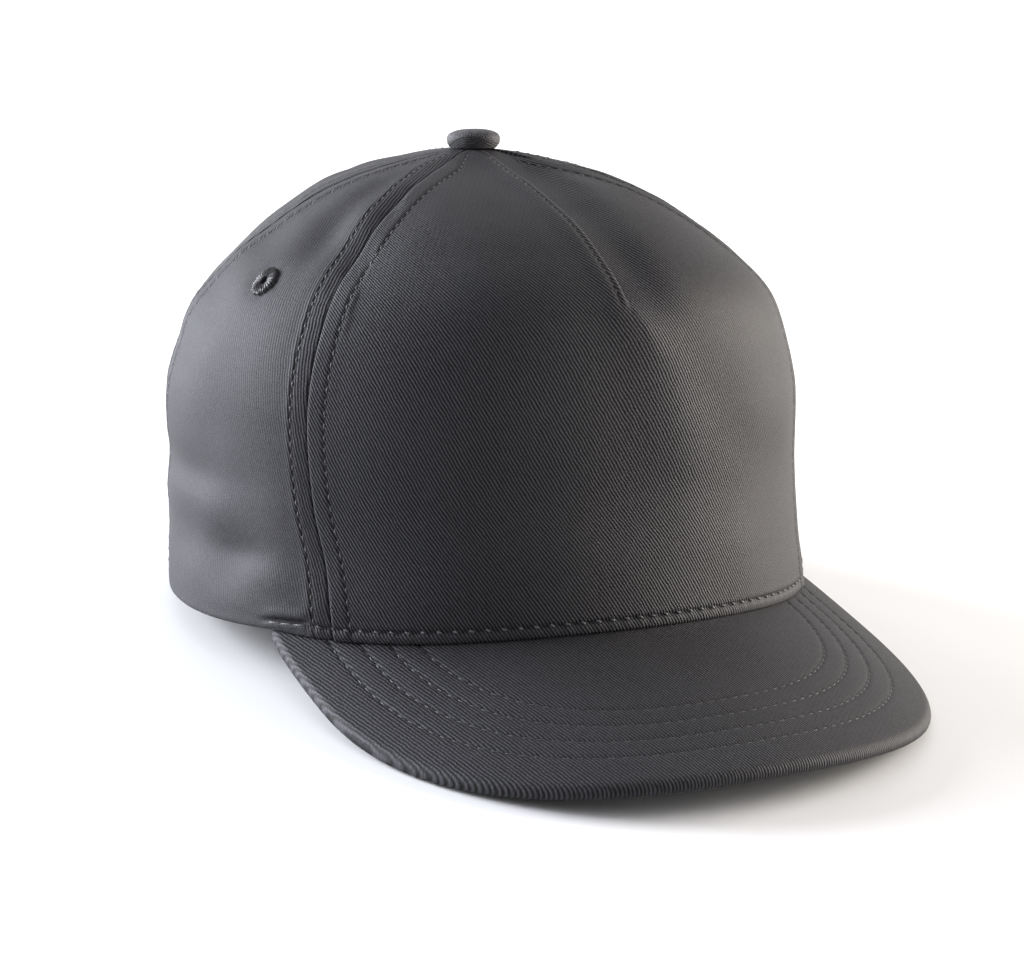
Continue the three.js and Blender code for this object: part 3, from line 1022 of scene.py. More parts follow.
@dataclass(frozen=True)
class FloorFinish:
    """A plain pale surface, lit from within far behind the cap like a studio's backdrop."""

    name: str = "pale floor"
    colour: Colour = (0.86, 0.86, 0.86, 1.0)
    unlit: Colour = (0.0, 0.0, 0.0, 1.0)
    glow: Colour = (1.0, 1.0, 1.0, 1.0)

    def material(self) -> Material:
        """Builds the floor: almost even, with a trace of noise in its roughness.

        Returns:
            The material.
        """
        graph = Graph.material(self.name)
        place = graph.place()
        rough = graph.noise(place, 8.0, 2.0) * 0.1 + 0.85
        away = graph.node("VectorMath", {"operation": "LENGTH"}, (place,), "Value")
        return graph.surface({
            "Base Color": self.colour,
            "Roughness": rough,
            "Specular IOR Level": 0.05,
            "Emission Color": graph.mix((away * 0.8 - 0.5).clamp(), self.unlit, self.glow),
            "Emission Strength": 1.0,
        })


@dataclass
class Mesh:
    """Points and faces of one piece on their way into Blender.

    The cloth map has two numbers a point, in mm. Each mark is one number a point that a finish reads.
    """

    points: Array
    quads: Array
    cloth: Array
    marks: dict[str, Array] = field(default_factory=dict)

    @staticmethod
    def grid_quads(rows: int, columns: int, closed: bool = False) -> Array:
        """Faces of a grid of points counted row by row.

        Args:
            rows: rows of points.
            columns: points in a row.
            closed: whether each row closes on itself.

        Returns:
            Point numbers, four to a face.
        """
        across = columns if closed else columns - 1
        row, column = np.meshgrid(np.arange(rows - 1), np.arange(across), indexing="ij")
        right = (column + 1) % columns
        corners = [row * columns + column, row * columns + right]
        corners += [(row + 1) * columns + right, (row + 1) * columns + column]
        return np.stack(corners, axis=-1).reshape(-1, 4)

    @classmethod
    def shell(cls, outer: Array, inner: Array, cloth: Array, marks: dict[str, Array] | None = None) -> Mesh:
        """A closed wall between two grids of the same shape.

        Args:
            outer: rows by columns of outer points.
            inner: the points behind them.
            cloth: the map of both, in mm.
            marks: numbers at each point of the grid.

        Returns:
            The closed mesh, its edges joined by four strips.
        """
        rows, columns = outer.shape[:2]
        layer = rows * columns
        number = np.arange(layer).reshape(rows, columns)
        front = cls.grid_quads(rows, columns)
        back = front[:, ::-1] + layer
        strips = []
        for edge in (number[0, ::-1], number[:, 0], number[-1, :], number[::-1, -1]):
            strips.append(np.stack([edge[:-1], edge[1:], edge[1:] + layer, edge[:-1] + layer], axis=-1))
        quads = np.concatenate([front, back, *strips])
        points = np.concatenate([outer.reshape(-1, 3), inner.reshape(-1, 3)])
        marks = {name: np.tile(values.ravel(), 2) for name, values in (marks or {}).items()}
        return cls(points, quads, np.tile(cloth.reshape(-1, 2), (2, 1)), marks)

    @classmethod
    def tube(cls, rings: Array, closed: bool = False) -> Mesh:
        """A closed pipe through rings of points, its ends capped unless it runs round into itself.

        Args:
            rings: rings by points by 3, each ring counted the same way.
            closed: whether the last ring joins the first.

        Returns:
            The mesh; its map counts mm round each ring and along the pipe.
        """
        count, sides = rings.shape[:2]
        number = np.arange(count * sides).reshape(count, sides)
        quads = [cls.grid_quads(count, sides, True)]
        points = rings.reshape(-1, 3)
        first, last = number[0], number[-1]
        if closed:
            corners = [last, np.roll(last, -1), np.roll(first, -1), first]
            quads.append(np.stack(corners, axis=-1))
        else:
            points = np.concatenate([points, rings[:1].mean(axis=1), rings[-1:].mean(axis=1)])
            for one, other, middle in ((np.roll(first, -1), first, 0), (last, np.roll(last, -1), 1)):
                centre = np.full(sides, count * sides + middle)
                quads.append(np.stack([one, other, centre, centre], axis=-1))
        along = np.linalg.norm(np.diff(rings, axis=0), axis=-1).mean(axis=1)
        along = np.concatenate([[0.0], np.cumsum(along)])
        around = np.cumsum(np.linalg.norm(rings - np.roll(rings, 1, axis=1), axis=-1), axis=1)
        cloth = np.stack([np.repeat(along[:, None], sides, axis=1), around], axis=-1).reshape(-1, 2)
        cloth = np.concatenate([cloth, np.zeros((len(points) - len(cloth), 2))])
        return cls(points, np.concatenate(quads), cloth)

    @classmethod
    def joined(cls, meshes: Sequence[Mesh]) -> Mesh:
        """Several meshes as one.

        Args:
            meshes: what is joined.

        Returns:
            One mesh, without marks.
        """
        starts = np.cumsum([0] + [len(mesh.points) for mesh in meshes[:-1]])
        quads = np.concatenate([mesh.quads + start for mesh, start in zip(meshes, starts)])
        cloth = np.concatenate([mesh.cloth for mesh in meshes])
        return cls(np.concatenate([mesh.points for mesh in meshes]), quads, cloth)

    def build(
        self, name: str, pose: Pose, material: Material, slot: str = "", node: str = "", weld: bool = True
    ) -> Thing:
        """Makes the Blender object in metres, with its map and marks, and lets a piece ride with the cap.

        Args:
            name: the object's name.
            pose: how the cap lies.
            material: its finish.
            slot: the material slot of a piece, empty for the floor and the cutters.
            node: the node that the piece replaces, if any.
            weld: whether points that meet are merged.

        Returns:
            The object.
        """
        data = bpy.data.meshes.new(name)
        data.vertices.add(len(self.points))
        data.vertices.foreach_set("co", pose.place(self.points).astype(np.float32).ravel())
        lone = self.quads[:, 2] == self.quads[:, 3]
        sizes = np.where(lone, 3, 4)
        keep = np.ones(self.quads.shape, dtype=bool)
        keep[:, 3] = ~lone
        loops = self.quads[keep].astype(np.int32)
        starts = np.concatenate([[0], np.cumsum(sizes)[:-1]]).astype(np.int32)
        data.loops.add(len(loops))
        data.loops.foreach_set("vertex_index", loops)
        data.polygons.add(len(self.quads))
        data.polygons.foreach_set("loop_start", starts)
        data.update(calc_edges=True)
        layer = data.uv_layers.new(name="cloth")
        layer.data.foreach_set("uv", self.cloth[loops].astype(np.float32).ravel())
        unsewn = {"row_gap": np.full(len(self.points), FAR)}
        for mark, values in {**unsewn, **self.marks}.items():
            numbers = data.attributes.new(mark, "FLOAT", "POINT")
            numbers.data.foreach_set("value", values.astype(np.float32).ravel())
        data.polygons.foreach_set("use_smooth", np.ones(len(self.quads), dtype=bool))
        if weld:
            work = bmesh.new()
            work.from_mesh(data)
            bmesh.ops.remove_doubles(work, verts=work.verts, dist=WELD * MM)
            bmesh.ops.dissolve_degenerate(work, edges=work.edges, dist=SLIVER * MM)
            work.to_mesh(data)
            work.free()
        data.validate()
        data.materials.append(material)
        thing = bpy.data.objects.new(name, data)
        bpy.context.scene.collection.objects.link(thing)
        if slot:
            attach(thing, "root")
        if node:
            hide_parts(node)
        return thing


def spread(total: float, fine: Sequence[float], step: float) -> Array:
    """Places from 0 to total: fine ones from each end, even ones between.

    Args:
        total: the whole length.
        fine: distances from an end, from 0 up.
        step: the even spacing between.

    Returns:
        The places in order.
    """
    start = np.asarray(fine)
    middle = total - 2 * start[-1]
    count = max(int(round(middle / step)), 1)
    inner = start[-1] + middle * np.arange(1, count) / count
    return np.concatenate([start, inner, total - start[::-1]])


def stitched(name: str, rows: Sequence[Mesh], pose: Pose, thread: ThreadFinish) -> Thing:
    """Makes one piece of several rows of stitches."""
    return Mesh.joined(rows).build(name, pose, thread.material(), "thread", weld=False)


def rounded_edge(distance: Array, radius: float) -> Array:
    """Share of the full half thickness at a distance from a rounded edge: a quarter circle."""
    near = np.clip(1 - distance / radius, 0.0, 1.0)
    return np.sqrt(1 - near * near)


@dataclass
class CrownPanel:
    """One cloth panel between two seams.

    fine holds the places of the columns beside a seam and fine_up those of the rows above the rim, in
    mm. They stand closest at the rolled edge and at the row of stitches.
    """

    node: str
    grain: Grain
    start_seam: int
    end_seam: int
    columns: int
    sewing: Sewing
    thickness: float = 1.6
    seam_gap: float = 0.3
    seam_edge: float = 0.35
    hem_edge: float = 0.8
    top_radius: float = 4.2
    row_step: float = 1.1
    denser_middle: float = 1.0
    fine: tuple[float, ...] = (
        0.0, 0.06, 0.16, 0.32, 0.55, 0.9, 1.4, 2.1, 3.0, 3.9,
        4.6, 5.05, 5.35, 5.6, 5.85, 6.15, 6.6, 7.2, 8.0, 9.2,
    )
    fine_up: tuple[float, ...] = (
        0.0, 0.06, 0.16, 0.35, 0.6, 1.0, 1.5, 2.1, 2.6, 3.05, 3.4,
        3.7, 4.0, 4.3, 4.6, 5.0, 5.3, 5.7, 6.3, 7.2, 8.6,
    )

    def mesh(self) -> Mesh:
        """The panel as a closed wall of cloth.

        Rows stand at lengths of cloth above the rim and columns at distances from the two seams. Near
        every edge the two faces come together in a quarter circle.

        Returns:
            The mesh, with a map in mm measured from the panel's middle line and from the rim.
        """
        crown = self.sewing.crown
        top = math.degrees(math.acos(self.top_radius / crown.side[-1]))
        length = float(crown.climb_length(np.float64(top)))
        up = spread(length, self.fine_up, self.row_step)
        lift = crown.lift_at(up)
        ring = crown.ring(lift)
        start, end = (crown.seam_bearing(seam, lift) for seam in (self.start_seam, self.end_seam))
        if self.start_seam == CENTRE_BACK:
            start = -start
        width = np.radians(end - start) * ring - self.seam_gap
        zone = self.fine[-1] * np.minimum(self.sewing.gather(lift), 0.4 * width / self.fine[-1])
        edge = np.asarray(self.fine) / self.fine[-1]
        share = signed_power(np.linspace(-1.0, 1.0, self.columns), self.denser_middle) * 0.5 + 0.5
        inner = zone[:, None] + (width - 2 * zone)[:, None] * share[None, 1:-1]
        left = zone[:, None] * edge[None, :]
        away = np.concatenate([left, inner, width[:, None] - left[:, ::-1]], axis=1)
        bearing = start[:, None] + np.degrees((away + self.seam_gap / 2) / ring[:, None])
        lifts = np.repeat(lift[:, None], bearing.shape[1], axis=1)
        return self._wall(bearing, lifts, away, width, np.repeat(up[:, None], bearing.shape[1], axis=1))

    def _wall(self, bearing: Array, lift: Array, away: Array, width: Array, up: Array) -> Mesh:
        """Both faces of the cloth from its grid of bearings and lifts.

        Args:
            bearing: in degrees.
            lift: in degrees.
            away: distances from the first seam, in mm.
            width: the panel's width at each row.
            up: lengths of cloth above the rim.

        Returns:
            The closed wall.
        """
        crown = self.sewing.crown
        to_seam = np.minimum(away, width[:, None] - away)
        half = self.thickness / 2
        full = rounded_edge(to_seam, self.seam_edge) * rounded_edge(up, self.hem_edge)
        full = full * rounded_edge(up.max() - up, self.hem_edge)
        height = self.sewing.height(bearing, lift)
        plain, normal = crown.point(bearing, lift), crown.normal(bearing, lift)
        outer = plain + normal * (height + half * (full - 1))[..., None]
        inner = plain + normal * (height * 0.5 - half * (full + 1))[..., None]
        cloth = np.stack([away - width[:, None] / 2, up], axis=-1)
        # Painted highlight along each seam's edge and along the hem's rolled edge
        worn = 0.06 * bell(to_seam, 0.8, 0.5) + 0.15 * bell(up, 1.6, 1.0)
        # Rib fading, a lit copy of the twill painted where the lights wash the ribs out: fainter away from
        # the seam strips
        nap = 0.4 + 0.45 * ease(self.sewing.allowance - 0.6, self.sewing.allowance + 1.5, to_seam)
        if self.grain is Grain.FRONT:
            across = self.sewing.across(bearing, lift)
            sewn = ease(crown.dart_end - 2, crown.dart_end + 2, lift)
            # Painted highlight along the dart's folded edge
            worn = worn + 0.85 * sewn * bell(across, -0.55, 0.5)
            # On the front panel the ribs are painted fainter towards the wearer's left of the middle ridge,
            # where the right light falls
            nap = 0.9 * ease(3.0, 26.0, across - crown.ridge_place(lift))
        gap, beat = self.sewing.rows(bearing, lift)
        marks = {"worn": np.clip(worn, 0.0, 1.0), "nap": nap, "row_gap": gap, "row_beat": beat}
        return Mesh.shell(outer, pinched(outer, inner, full), cloth, marks)

    def build(self, pose: Pose) -> Thing:
        """Makes the panel and lets it stand for its node."""
        finish = TwillFinish(self.node.replace("_", " ") + " twill", self.grain)
        return self.mesh().build(self.node + "_cloth", pose, finish.material(), "twill", self.node)


@dataclass
class StitchRow:
    """A row of lockstitches along a path on the cloth, counted by the row's own beat.

    A stitch fills a share of its step. Its ends sink into the cloth and may turn aside by a slant.
    """

    points: Array
    normals: Array
    beat: Array
    share: float = 0.62
    radius: float = 0.22
    sink: float = 0.2
    slant: float = 0.0
    rings: int = 7
    sides: int = 6

    def mesh(self) -> Mesh:
        """The row's stitches, each a short bowed capsule whose ends dive into the cloth.

        Each stitch is a few rings about the middle of two needle's holes. Along the path their height
        follows a parabola and their radius a half ellipse.

        Returns:
            One mesh of all the stitches.
        """
        if self.beat[-1] < self.beat[0]:
            self.points, self.normals, self.beat = self.points[::-1], self.normals[::-1], self.beat[::-1]
        first, last = math.ceil(self.beat[0]), math.floor(self.beat[-1])
        middle = np.arange(first, last) + 0.5
        ring = np.linspace(-1.0, 1.0, self.rings)
        place = middle[:, None] + ring[None, :] * 0.5 * self.share
        base = read_line(place, self.beat, self.points)
        normal = unit(read_line(place, self.beat, self.normals))
        beside = np.cross(unit(np.gradient(base, axis=1)), normal)
        bow = (1 - ring * ring) * (self.sink + 0.5 * self.radius) - self.sink
        size = self.radius * np.sqrt(np.clip(1 - 0.96 * ring * ring, 0.0, 1.0))
        angle = np.arange(self.sides) * math.tau / self.sides
        spin = beside[:, :, None] * np.cos(angle)[:, None] + normal[:, :, None] * np.sin(angle)[:, None]
        centre = base + normal * bow[None, :, None] + beside * (self.slant * ring)[None, :, None]
        points = centre[:, :, None] + spin * size[None, :, None, None]
        faces = Mesh.grid_quads(self.rings, self.sides, True)[:, ::-1]
        caps = np.array([[0, 1, 2, 3], [0, 3, 4, 5]])
        faces = np.concatenate([faces, caps, caps[:, ::-1] + (self.rings - 1) * self.sides])
        starts = np.arange(len(middle)) * self.rings * self.sides
        quads = (faces[None] + starts[:, None, None]).reshape(-1, 4)
        along = np.broadcast_to(place[:, :, None], points.shape[:3])
        around = np.broadcast_to(angle / math.tau, points.shape[:3])
        cloth = np.stack([along, around], axis=-1).reshape(-1, 2)
        return Mesh(points.reshape(-1, 3), quads, cloth)


def lathe(profile: Array, centre: Array, axis: Array, sides: int) -> Mesh:
    """Turns a profile of radius and height about an axis.

    Args:
        profile: rows of radius and height, from the foot's middle to the top's middle.
        centre: the point of height 0.
        axis: the way up.
        sides: points in each ring.

    Returns:
        The closed solid.
    """
    axis = axis / np.linalg.norm(axis)
    across = np.cross(axis, [0.3, 0.5, 0.81])
    across = across / np.linalg.norm(across)
    other = np.cross(axis, across)
    angle = np.arange(sides) * math.tau / sides
    circle = np.cos(angle)[:, None] * across + np.sin(angle)[:, None] * other
    rings = centre + profile[:, 0, None, None] * circle + profile[:, 1, None, None] * axis
    return Mesh.tube(rings)


def cut_away(piece: Thing, cutter: Thing) -> None:
    """Cuts one closed mesh out of another and deletes the cutter.

    Args:
        piece: what is cut.
        cutter: what is taken away.
    """
    change = piece.modifiers.new("cut", "BOOLEAN")
    change.operation = "DIFFERENCE"
    change.solver = "EXACT"
    change.object = cutter
    graph = bpy.context.evaluated_depsgraph_get()
    cut = bpy.data.meshes.new_from_object(piece.evaluated_get(graph), depsgraph=graph)
    piece.modifiers.clear()
    piece.data = cut
    bpy.data.objects.remove(cutter)


@dataclass
class BackArch:
    """The arched opening above the strap: its cutter and the folded tape that binds its edge."""

    sewing: Sewing
    pose: Pose
    half_width: float = 40.0
    height: float = 47.0
    mean_radius: float = 44.0
    sewn: float = 6.2
    pitch: float = 3.1
    lowest: float = 1.2
    cut_below: float = -20.0
    cut_from: float = 130.0
    cut_to: float = 40.0
    section: tuple[Pair, ...] = (
        (8.0, 0.05), (7.75, 0.3), (7.2, 0.42), (5.6, 0.42), (4.0, 0.45), (2.4, 0.5), (1.0, 0.5), (0.2, 0.3),
        (-0.35, -0.15), (-0.55, -0.8), (-0.35, -1.5), (0.3, -2.0), (2.0, -2.15), (5.0, -2.15),
        (7.6, -2.1), (8.0, -1.9),
    )

    def curve(self, turn: Array, out: Array | float) -> tuple[Array, Array]:
        """Place on the arch seen from behind: an ellipse moved outwards along its normal.

        Args:
            turn: angles round the ellipse, in radians.
            out: distance outwards, in mm.

        Returns:
            The x and z of each place.
        """
        x, z = self.half_width * np.cos(turn), self.height * np.sin(turn)
        nx, nz = np.cos(turn) / self.half_width, np.sin(turn) / self.height
        size = np.hypot(nx, nz)
        return x + out * nx / size, z + out * nz / size

    def on_crown(self, x: Array, z: Array) -> tuple[Array, Array]:
        """Bearings and lifts of the points of the back that have an x and z, by Newton's steps.

        Args:
            x: the x of each point.
            z: its height.

        Returns:
            The bearings and the lifts.
        """
        crown = self.sewing.crown
        bearing = 180.0 - np.degrees(np.arcsin(np.clip(x / 100.0, -0.9, 0.9)))
        lift = np.degrees(np.arcsin(np.clip(z / 106.0, 0.0, 0.9)))
        step = 0.05
        for _ in range(10):
            here = crown.point(bearing, lift)
            turned = (crown.point(bearing + step, lift) - here) / step
            raised = (crown.point(bearing, lift + step) - here) / step
            a, b, c, d = turned[..., 0], raised[..., 0], turned[..., 2], raised[..., 2]
            off_x, off_z = x - here[..., 0], z - here[..., 2]
            bearing = bearing + (d * off_x - b * off_z) / (a * d - b * c)
            lift = np.clip(lift + (a * off_z - c * off_x) / (a * d - b * c), 0.0, 80.0)
        return bearing, lift

    def cutter(self) -> Mesh:
        """A long bar with the arch's outline, from behind the cap to the middle of the crown.

        Returns:
            The closed bar.
        """
        turn = np.linspace(0.0, math.pi, 81)
        x, z = self.curve(turn, 0.0)
        x = np.concatenate([x, [-self.half_width, self.half_width]])
        z = np.concatenate([z, [self.cut_below, self.cut_below]])
        rings = [np.stack([x, np.full_like(x, y), z], axis=-1) for y in (self.cut_from, self.cut_to)]
        return Mesh.tube(np.stack(rings))

    def binding(self) -> Mesh:
        """The tape: a flat loop over the cloth's edge, carried along the arch.

        Each ring goes down the outer face of the dressed cloth, round the cut edge and up inside.

        Returns:
            The mesh.
        """
        turn = np.radians(np.linspace(1.6, 178.4, 240))
        out, above = np.array(self.section).T
        x, z = self.curve(turn[:, None], out[None, :])
        bearing, lift = self.on_crown(x, np.maximum(z, self.lowest))
        along = np.repeat(turn[:, None] * self.mean_radius, len(out), axis=1)
        ripple = 0.05 * waves(along, (5.0, 8.0), 1.0)
        drawn = -0.22 * bell(out, self.sewn, 0.5) * (above > 0)
        height = np.where(above > 0, above + ripple + drawn, above)
        return Mesh.tube(self.sewing.surface(bearing, lift, height))

    def stitches(self) -> Mesh:
        """The row of stitches along the tape.

        Returns:
            The row.
        """
        turn = np.radians(np.linspace(2.0, 178.0, 500))
        x, z = self.curve(turn, self.sewn)
        bearing, lift = self.on_crown(x, np.maximum(z, self.lowest))
        points = self.sewing.surface(bearing, lift, 0.24)
        beat = running_length(points) / self.pitch
        return StitchRow(points, self.sewing.crown.normal(bearing, lift), beat, share=0.66).mesh()


@dataclass
class Crown:
    """The five panels of the crown with their stitching, tapes and bound arch.

    seam_rows and tape_rows hold the lifts where rows and tapes start, at the rim and above the arch,
    and where they end.
    """

    sewing: Sewing
    pose: Pose
    seam_thread: ThreadFinish
    hem_thread: ThreadFinish
    hole: float = 1.7
    seam_rows: Triple = (1.6, 31.0, 85.0)
    tape_rows: Triple = (2.6, 30.0, 86.0)
    tape_depth: float = 1.9
    tape_thickness: float = 0.5

    def build(self) -> list[Thing]:
        """Makes the panels, the stitches and the tapes.

        Returns:
            The crown's objects.
        """
        self.arch = BackArch(self.sewing, self.pose)
        front = CrownPanel("front_panel", Grain.FRONT, 0, 1, 170, self.sewing, denser_middle=1.5)
        made = [front.build(self.pose)]
        for side in Side:
            made += [self._flank(side, flank) for flank in Flank]
        made += [self._seam_stitches(), self._hem_stitches(), self._tapes()]
        tape = TwillFinish("binding twill", Grain.BUTTON, rib=(0.035, 0.034, 0.037, 1.0))
        made.append(self.arch.binding().build("arch_binding", self.pose, tape.material(), "twill"))
        return made

    def _flank(self, side: Side, flank: Flank) -> Thing:
        """A side or back panel with its eyelet's hole, and in a back panel half of the arch.

        A side panel runs from its front seam to its rear seam, a back panel on to the centre back.

        Args:
            side: which side of the cap.
            flank: which panel of that side.

        Returns:
            The panel.
        """
        front = 0 if side is Side.RIGHT else 1
        seams = (front, front + 2) if flank is Flank.SIDE else (front + 2, CENTRE_BACK)
        start, end = seams[:: side.value]
        bearing, grain, columns = flank.value
        panel = CrownPanel(f"{flank.word}_panel_{side.word}", grain, start, end, columns, self.sewing)
        thing = panel.build(self.pose)
        self._punch(thing, side.value * bearing)
        if flank is Flank.BACK:
            cut_away(thing, self.arch.cutter().build("arch_cutter", self.pose, thing.data.materials[0]))
        return thing

    def _punch(self, panel: Thing, bearing: float) -> None:
        """Cuts the eyelet's hole through a panel, at a bearing.

        Args:
            panel: what is cut.
            bearing: the hole's place.
        """
        place = np.float64(bearing), np.float64(self.sewing.eyelet_lift)
        profile = np.array([(self.hole, -6.0), (self.hole, 6.0)])
        drill = lathe(profile, self.sewing.crown.point(*place), self.sewing.crown.normal(*place), 20)
        cut_away(panel, drill.build("eyelet_drill", self.pose, panel.data.materials[0]))

    def _seam_stitches(self) -> Thing:
        """Two rows of topstitching beside each seam, one beside the dart and one round the arch.

        Returns:
            The piece.
        """
        crown, sewing = self.sewing.crown, self.sewing
        low, arched, high = self.seam_rows
        rows = [self.arch.stitches()]
        for number in SEAMS:
            lift = np.linspace(arched if number == CENTRE_BACK else low, high, 400)
            for side in Side:
                away = side.value * sewing.row * sewing.gather(lift)
                bearing = crown.seam_bearing(number, lift) + np.degrees(away / crown.ring(lift))
                rows.append(self._row(bearing, lift))
        lift = np.linspace(crown.dart_end + 1.0, high, 240)
        bearing = np.degrees(sewing.dart_row / crown.ring(lift))
        rows.append(self._row(bearing, lift, share=0.5, radius=0.17))
        return stitched("crown_topstitching", rows, self.pose, self.seam_thread)

    def _hem_stitches(self) -> Thing:
        """The row that holds the brim to the crown, and the one long stitch of the tuck.

        Returns:
            The piece.
        """
        sewing = self.sewing
        end = sewing.hem_end - 0.5
        bearing = np.linspace(-end, end, 700)
        lift = np.full_like(bearing, float(sewing.crown.lift_at(np.float64(sewing.hem_row))))
        rows = [self._row(bearing, lift, share=0.4, radius=0.33, slant=0.3)]
        place, width = sewing.tuck
        for side in Side:
            bearing = side.value * np.linspace(place - width, place + width - 1.5, 40)
            lift = sewing.crown.lift_at(sewing.tuck_line(bearing))
            points, normals = sewing.surface(bearing, lift, 0.05), sewing.crown.normal(bearing, lift)
            beat = np.linspace(0.0, 3.0, 40)
            rows.append(StitchRow(points, normals, beat, share=0.95, radius=0.24).mesh())
        return stitched("hem_stitching", rows, self.pose, self.hem_thread)

    def _row(self, bearing: Array, lift: Array, **stitch: float) -> Mesh:
        """One row of stitches along bearings and lifts.

        Args:
            bearing: in degrees.
            lift: in degrees.
            **stitch: the sizes of StitchRow that differ from its own.

        Returns:
            The row.
        """
        points, normal = self.sewing.surface(bearing, lift), self.sewing.crown.normal(bearing, lift)
        _, beat = self.sewing.rows(bearing, lift)
        return StitchRow(points, normal, beat, **stitch).mesh()

    def _tapes(self) -> Thing:
        """Flat tapes that close the seams inside the crown.

        Returns:
            The piece.
        """
        crown, sewing = self.sewing.crown, self.sewing
        low, arched, high = self.tape_rows
        across = np.array([-6.0, -5.8, -4.0, -2.0, 0.0, 2.0, 4.0, 5.8, 6.0])
        full = np.abs(across) < across.max()
        meshes = []
        for number in SEAMS:
            lift = np.linspace(arched if number == CENTRE_BACK else low, high, 90)[:, None]
            away = np.degrees(across * sewing.gather(lift) / crown.ring(lift))
            bearing = crown.seam_bearing(number, lift) + away
            lift = np.broadcast_to(lift, bearing.shape)
            plain, normal = crown.point(bearing, lift), crown.normal(bearing, lift)
            outer = plain - normal * self.tape_depth
            inner = plain - normal * (self.tape_depth + self.tape_thickness * full + 0.02)[:, None]
            cloth = np.stack([np.broadcast_to(across, bearing.shape), crown.climb_length(lift)], axis=-1)
            meshes.append(Mesh.shell(outer, inner, cloth))
        finish = LiningFinish("seam tape")
        return Mesh.joined(meshes).build("seam_tapes", self.pose, finish.material(), "lining")


@dataclass
class PlanLine:
    """A line drawn in plan, from which places beside it are measured."""

    points: Array
    block: int = 4000

    def __post_init__(self) -> None:
        """Works out the lengths along the line and its directions."""
        self.lengths = running_length(self.points)
        self.tangents = unit(np.gradient(self.points, axis=0))
        self.inward = np.stack([-self.tangents[:, 1], self.tangents[:, 0]], axis=-1)

    def locate(self, plan: Array) -> tuple[Array, Array]:
        """Measures plan points from the line.

        The step from the line's nearest point is split into its parts across and along the line.

        Args:
            plan: points with a last axis of 2.

        Returns:
            The signed distance, positive inwards, and the length along the line.
        """
        flat = plan.reshape(-1, 2)
        x, y = self.points.T
        best = []
        for part in np.array_split(flat, len(flat) // self.block + 1):
            apart = (part[:, None, 0] - x) ** 2 + (part[:, None, 1] - y) ** 2
            best.append(apart.argmin(axis=1))
        best = np.concatenate(best)
        step = flat - self.points[best]
        away = (step * self.inward[best]).sum(axis=1)
        along = self.lengths[best] + (step * self.tangents[best]).sum(axis=1)
        return away.reshape(plan.shape[:-1]), along.reshape(plan.shape[:-1])


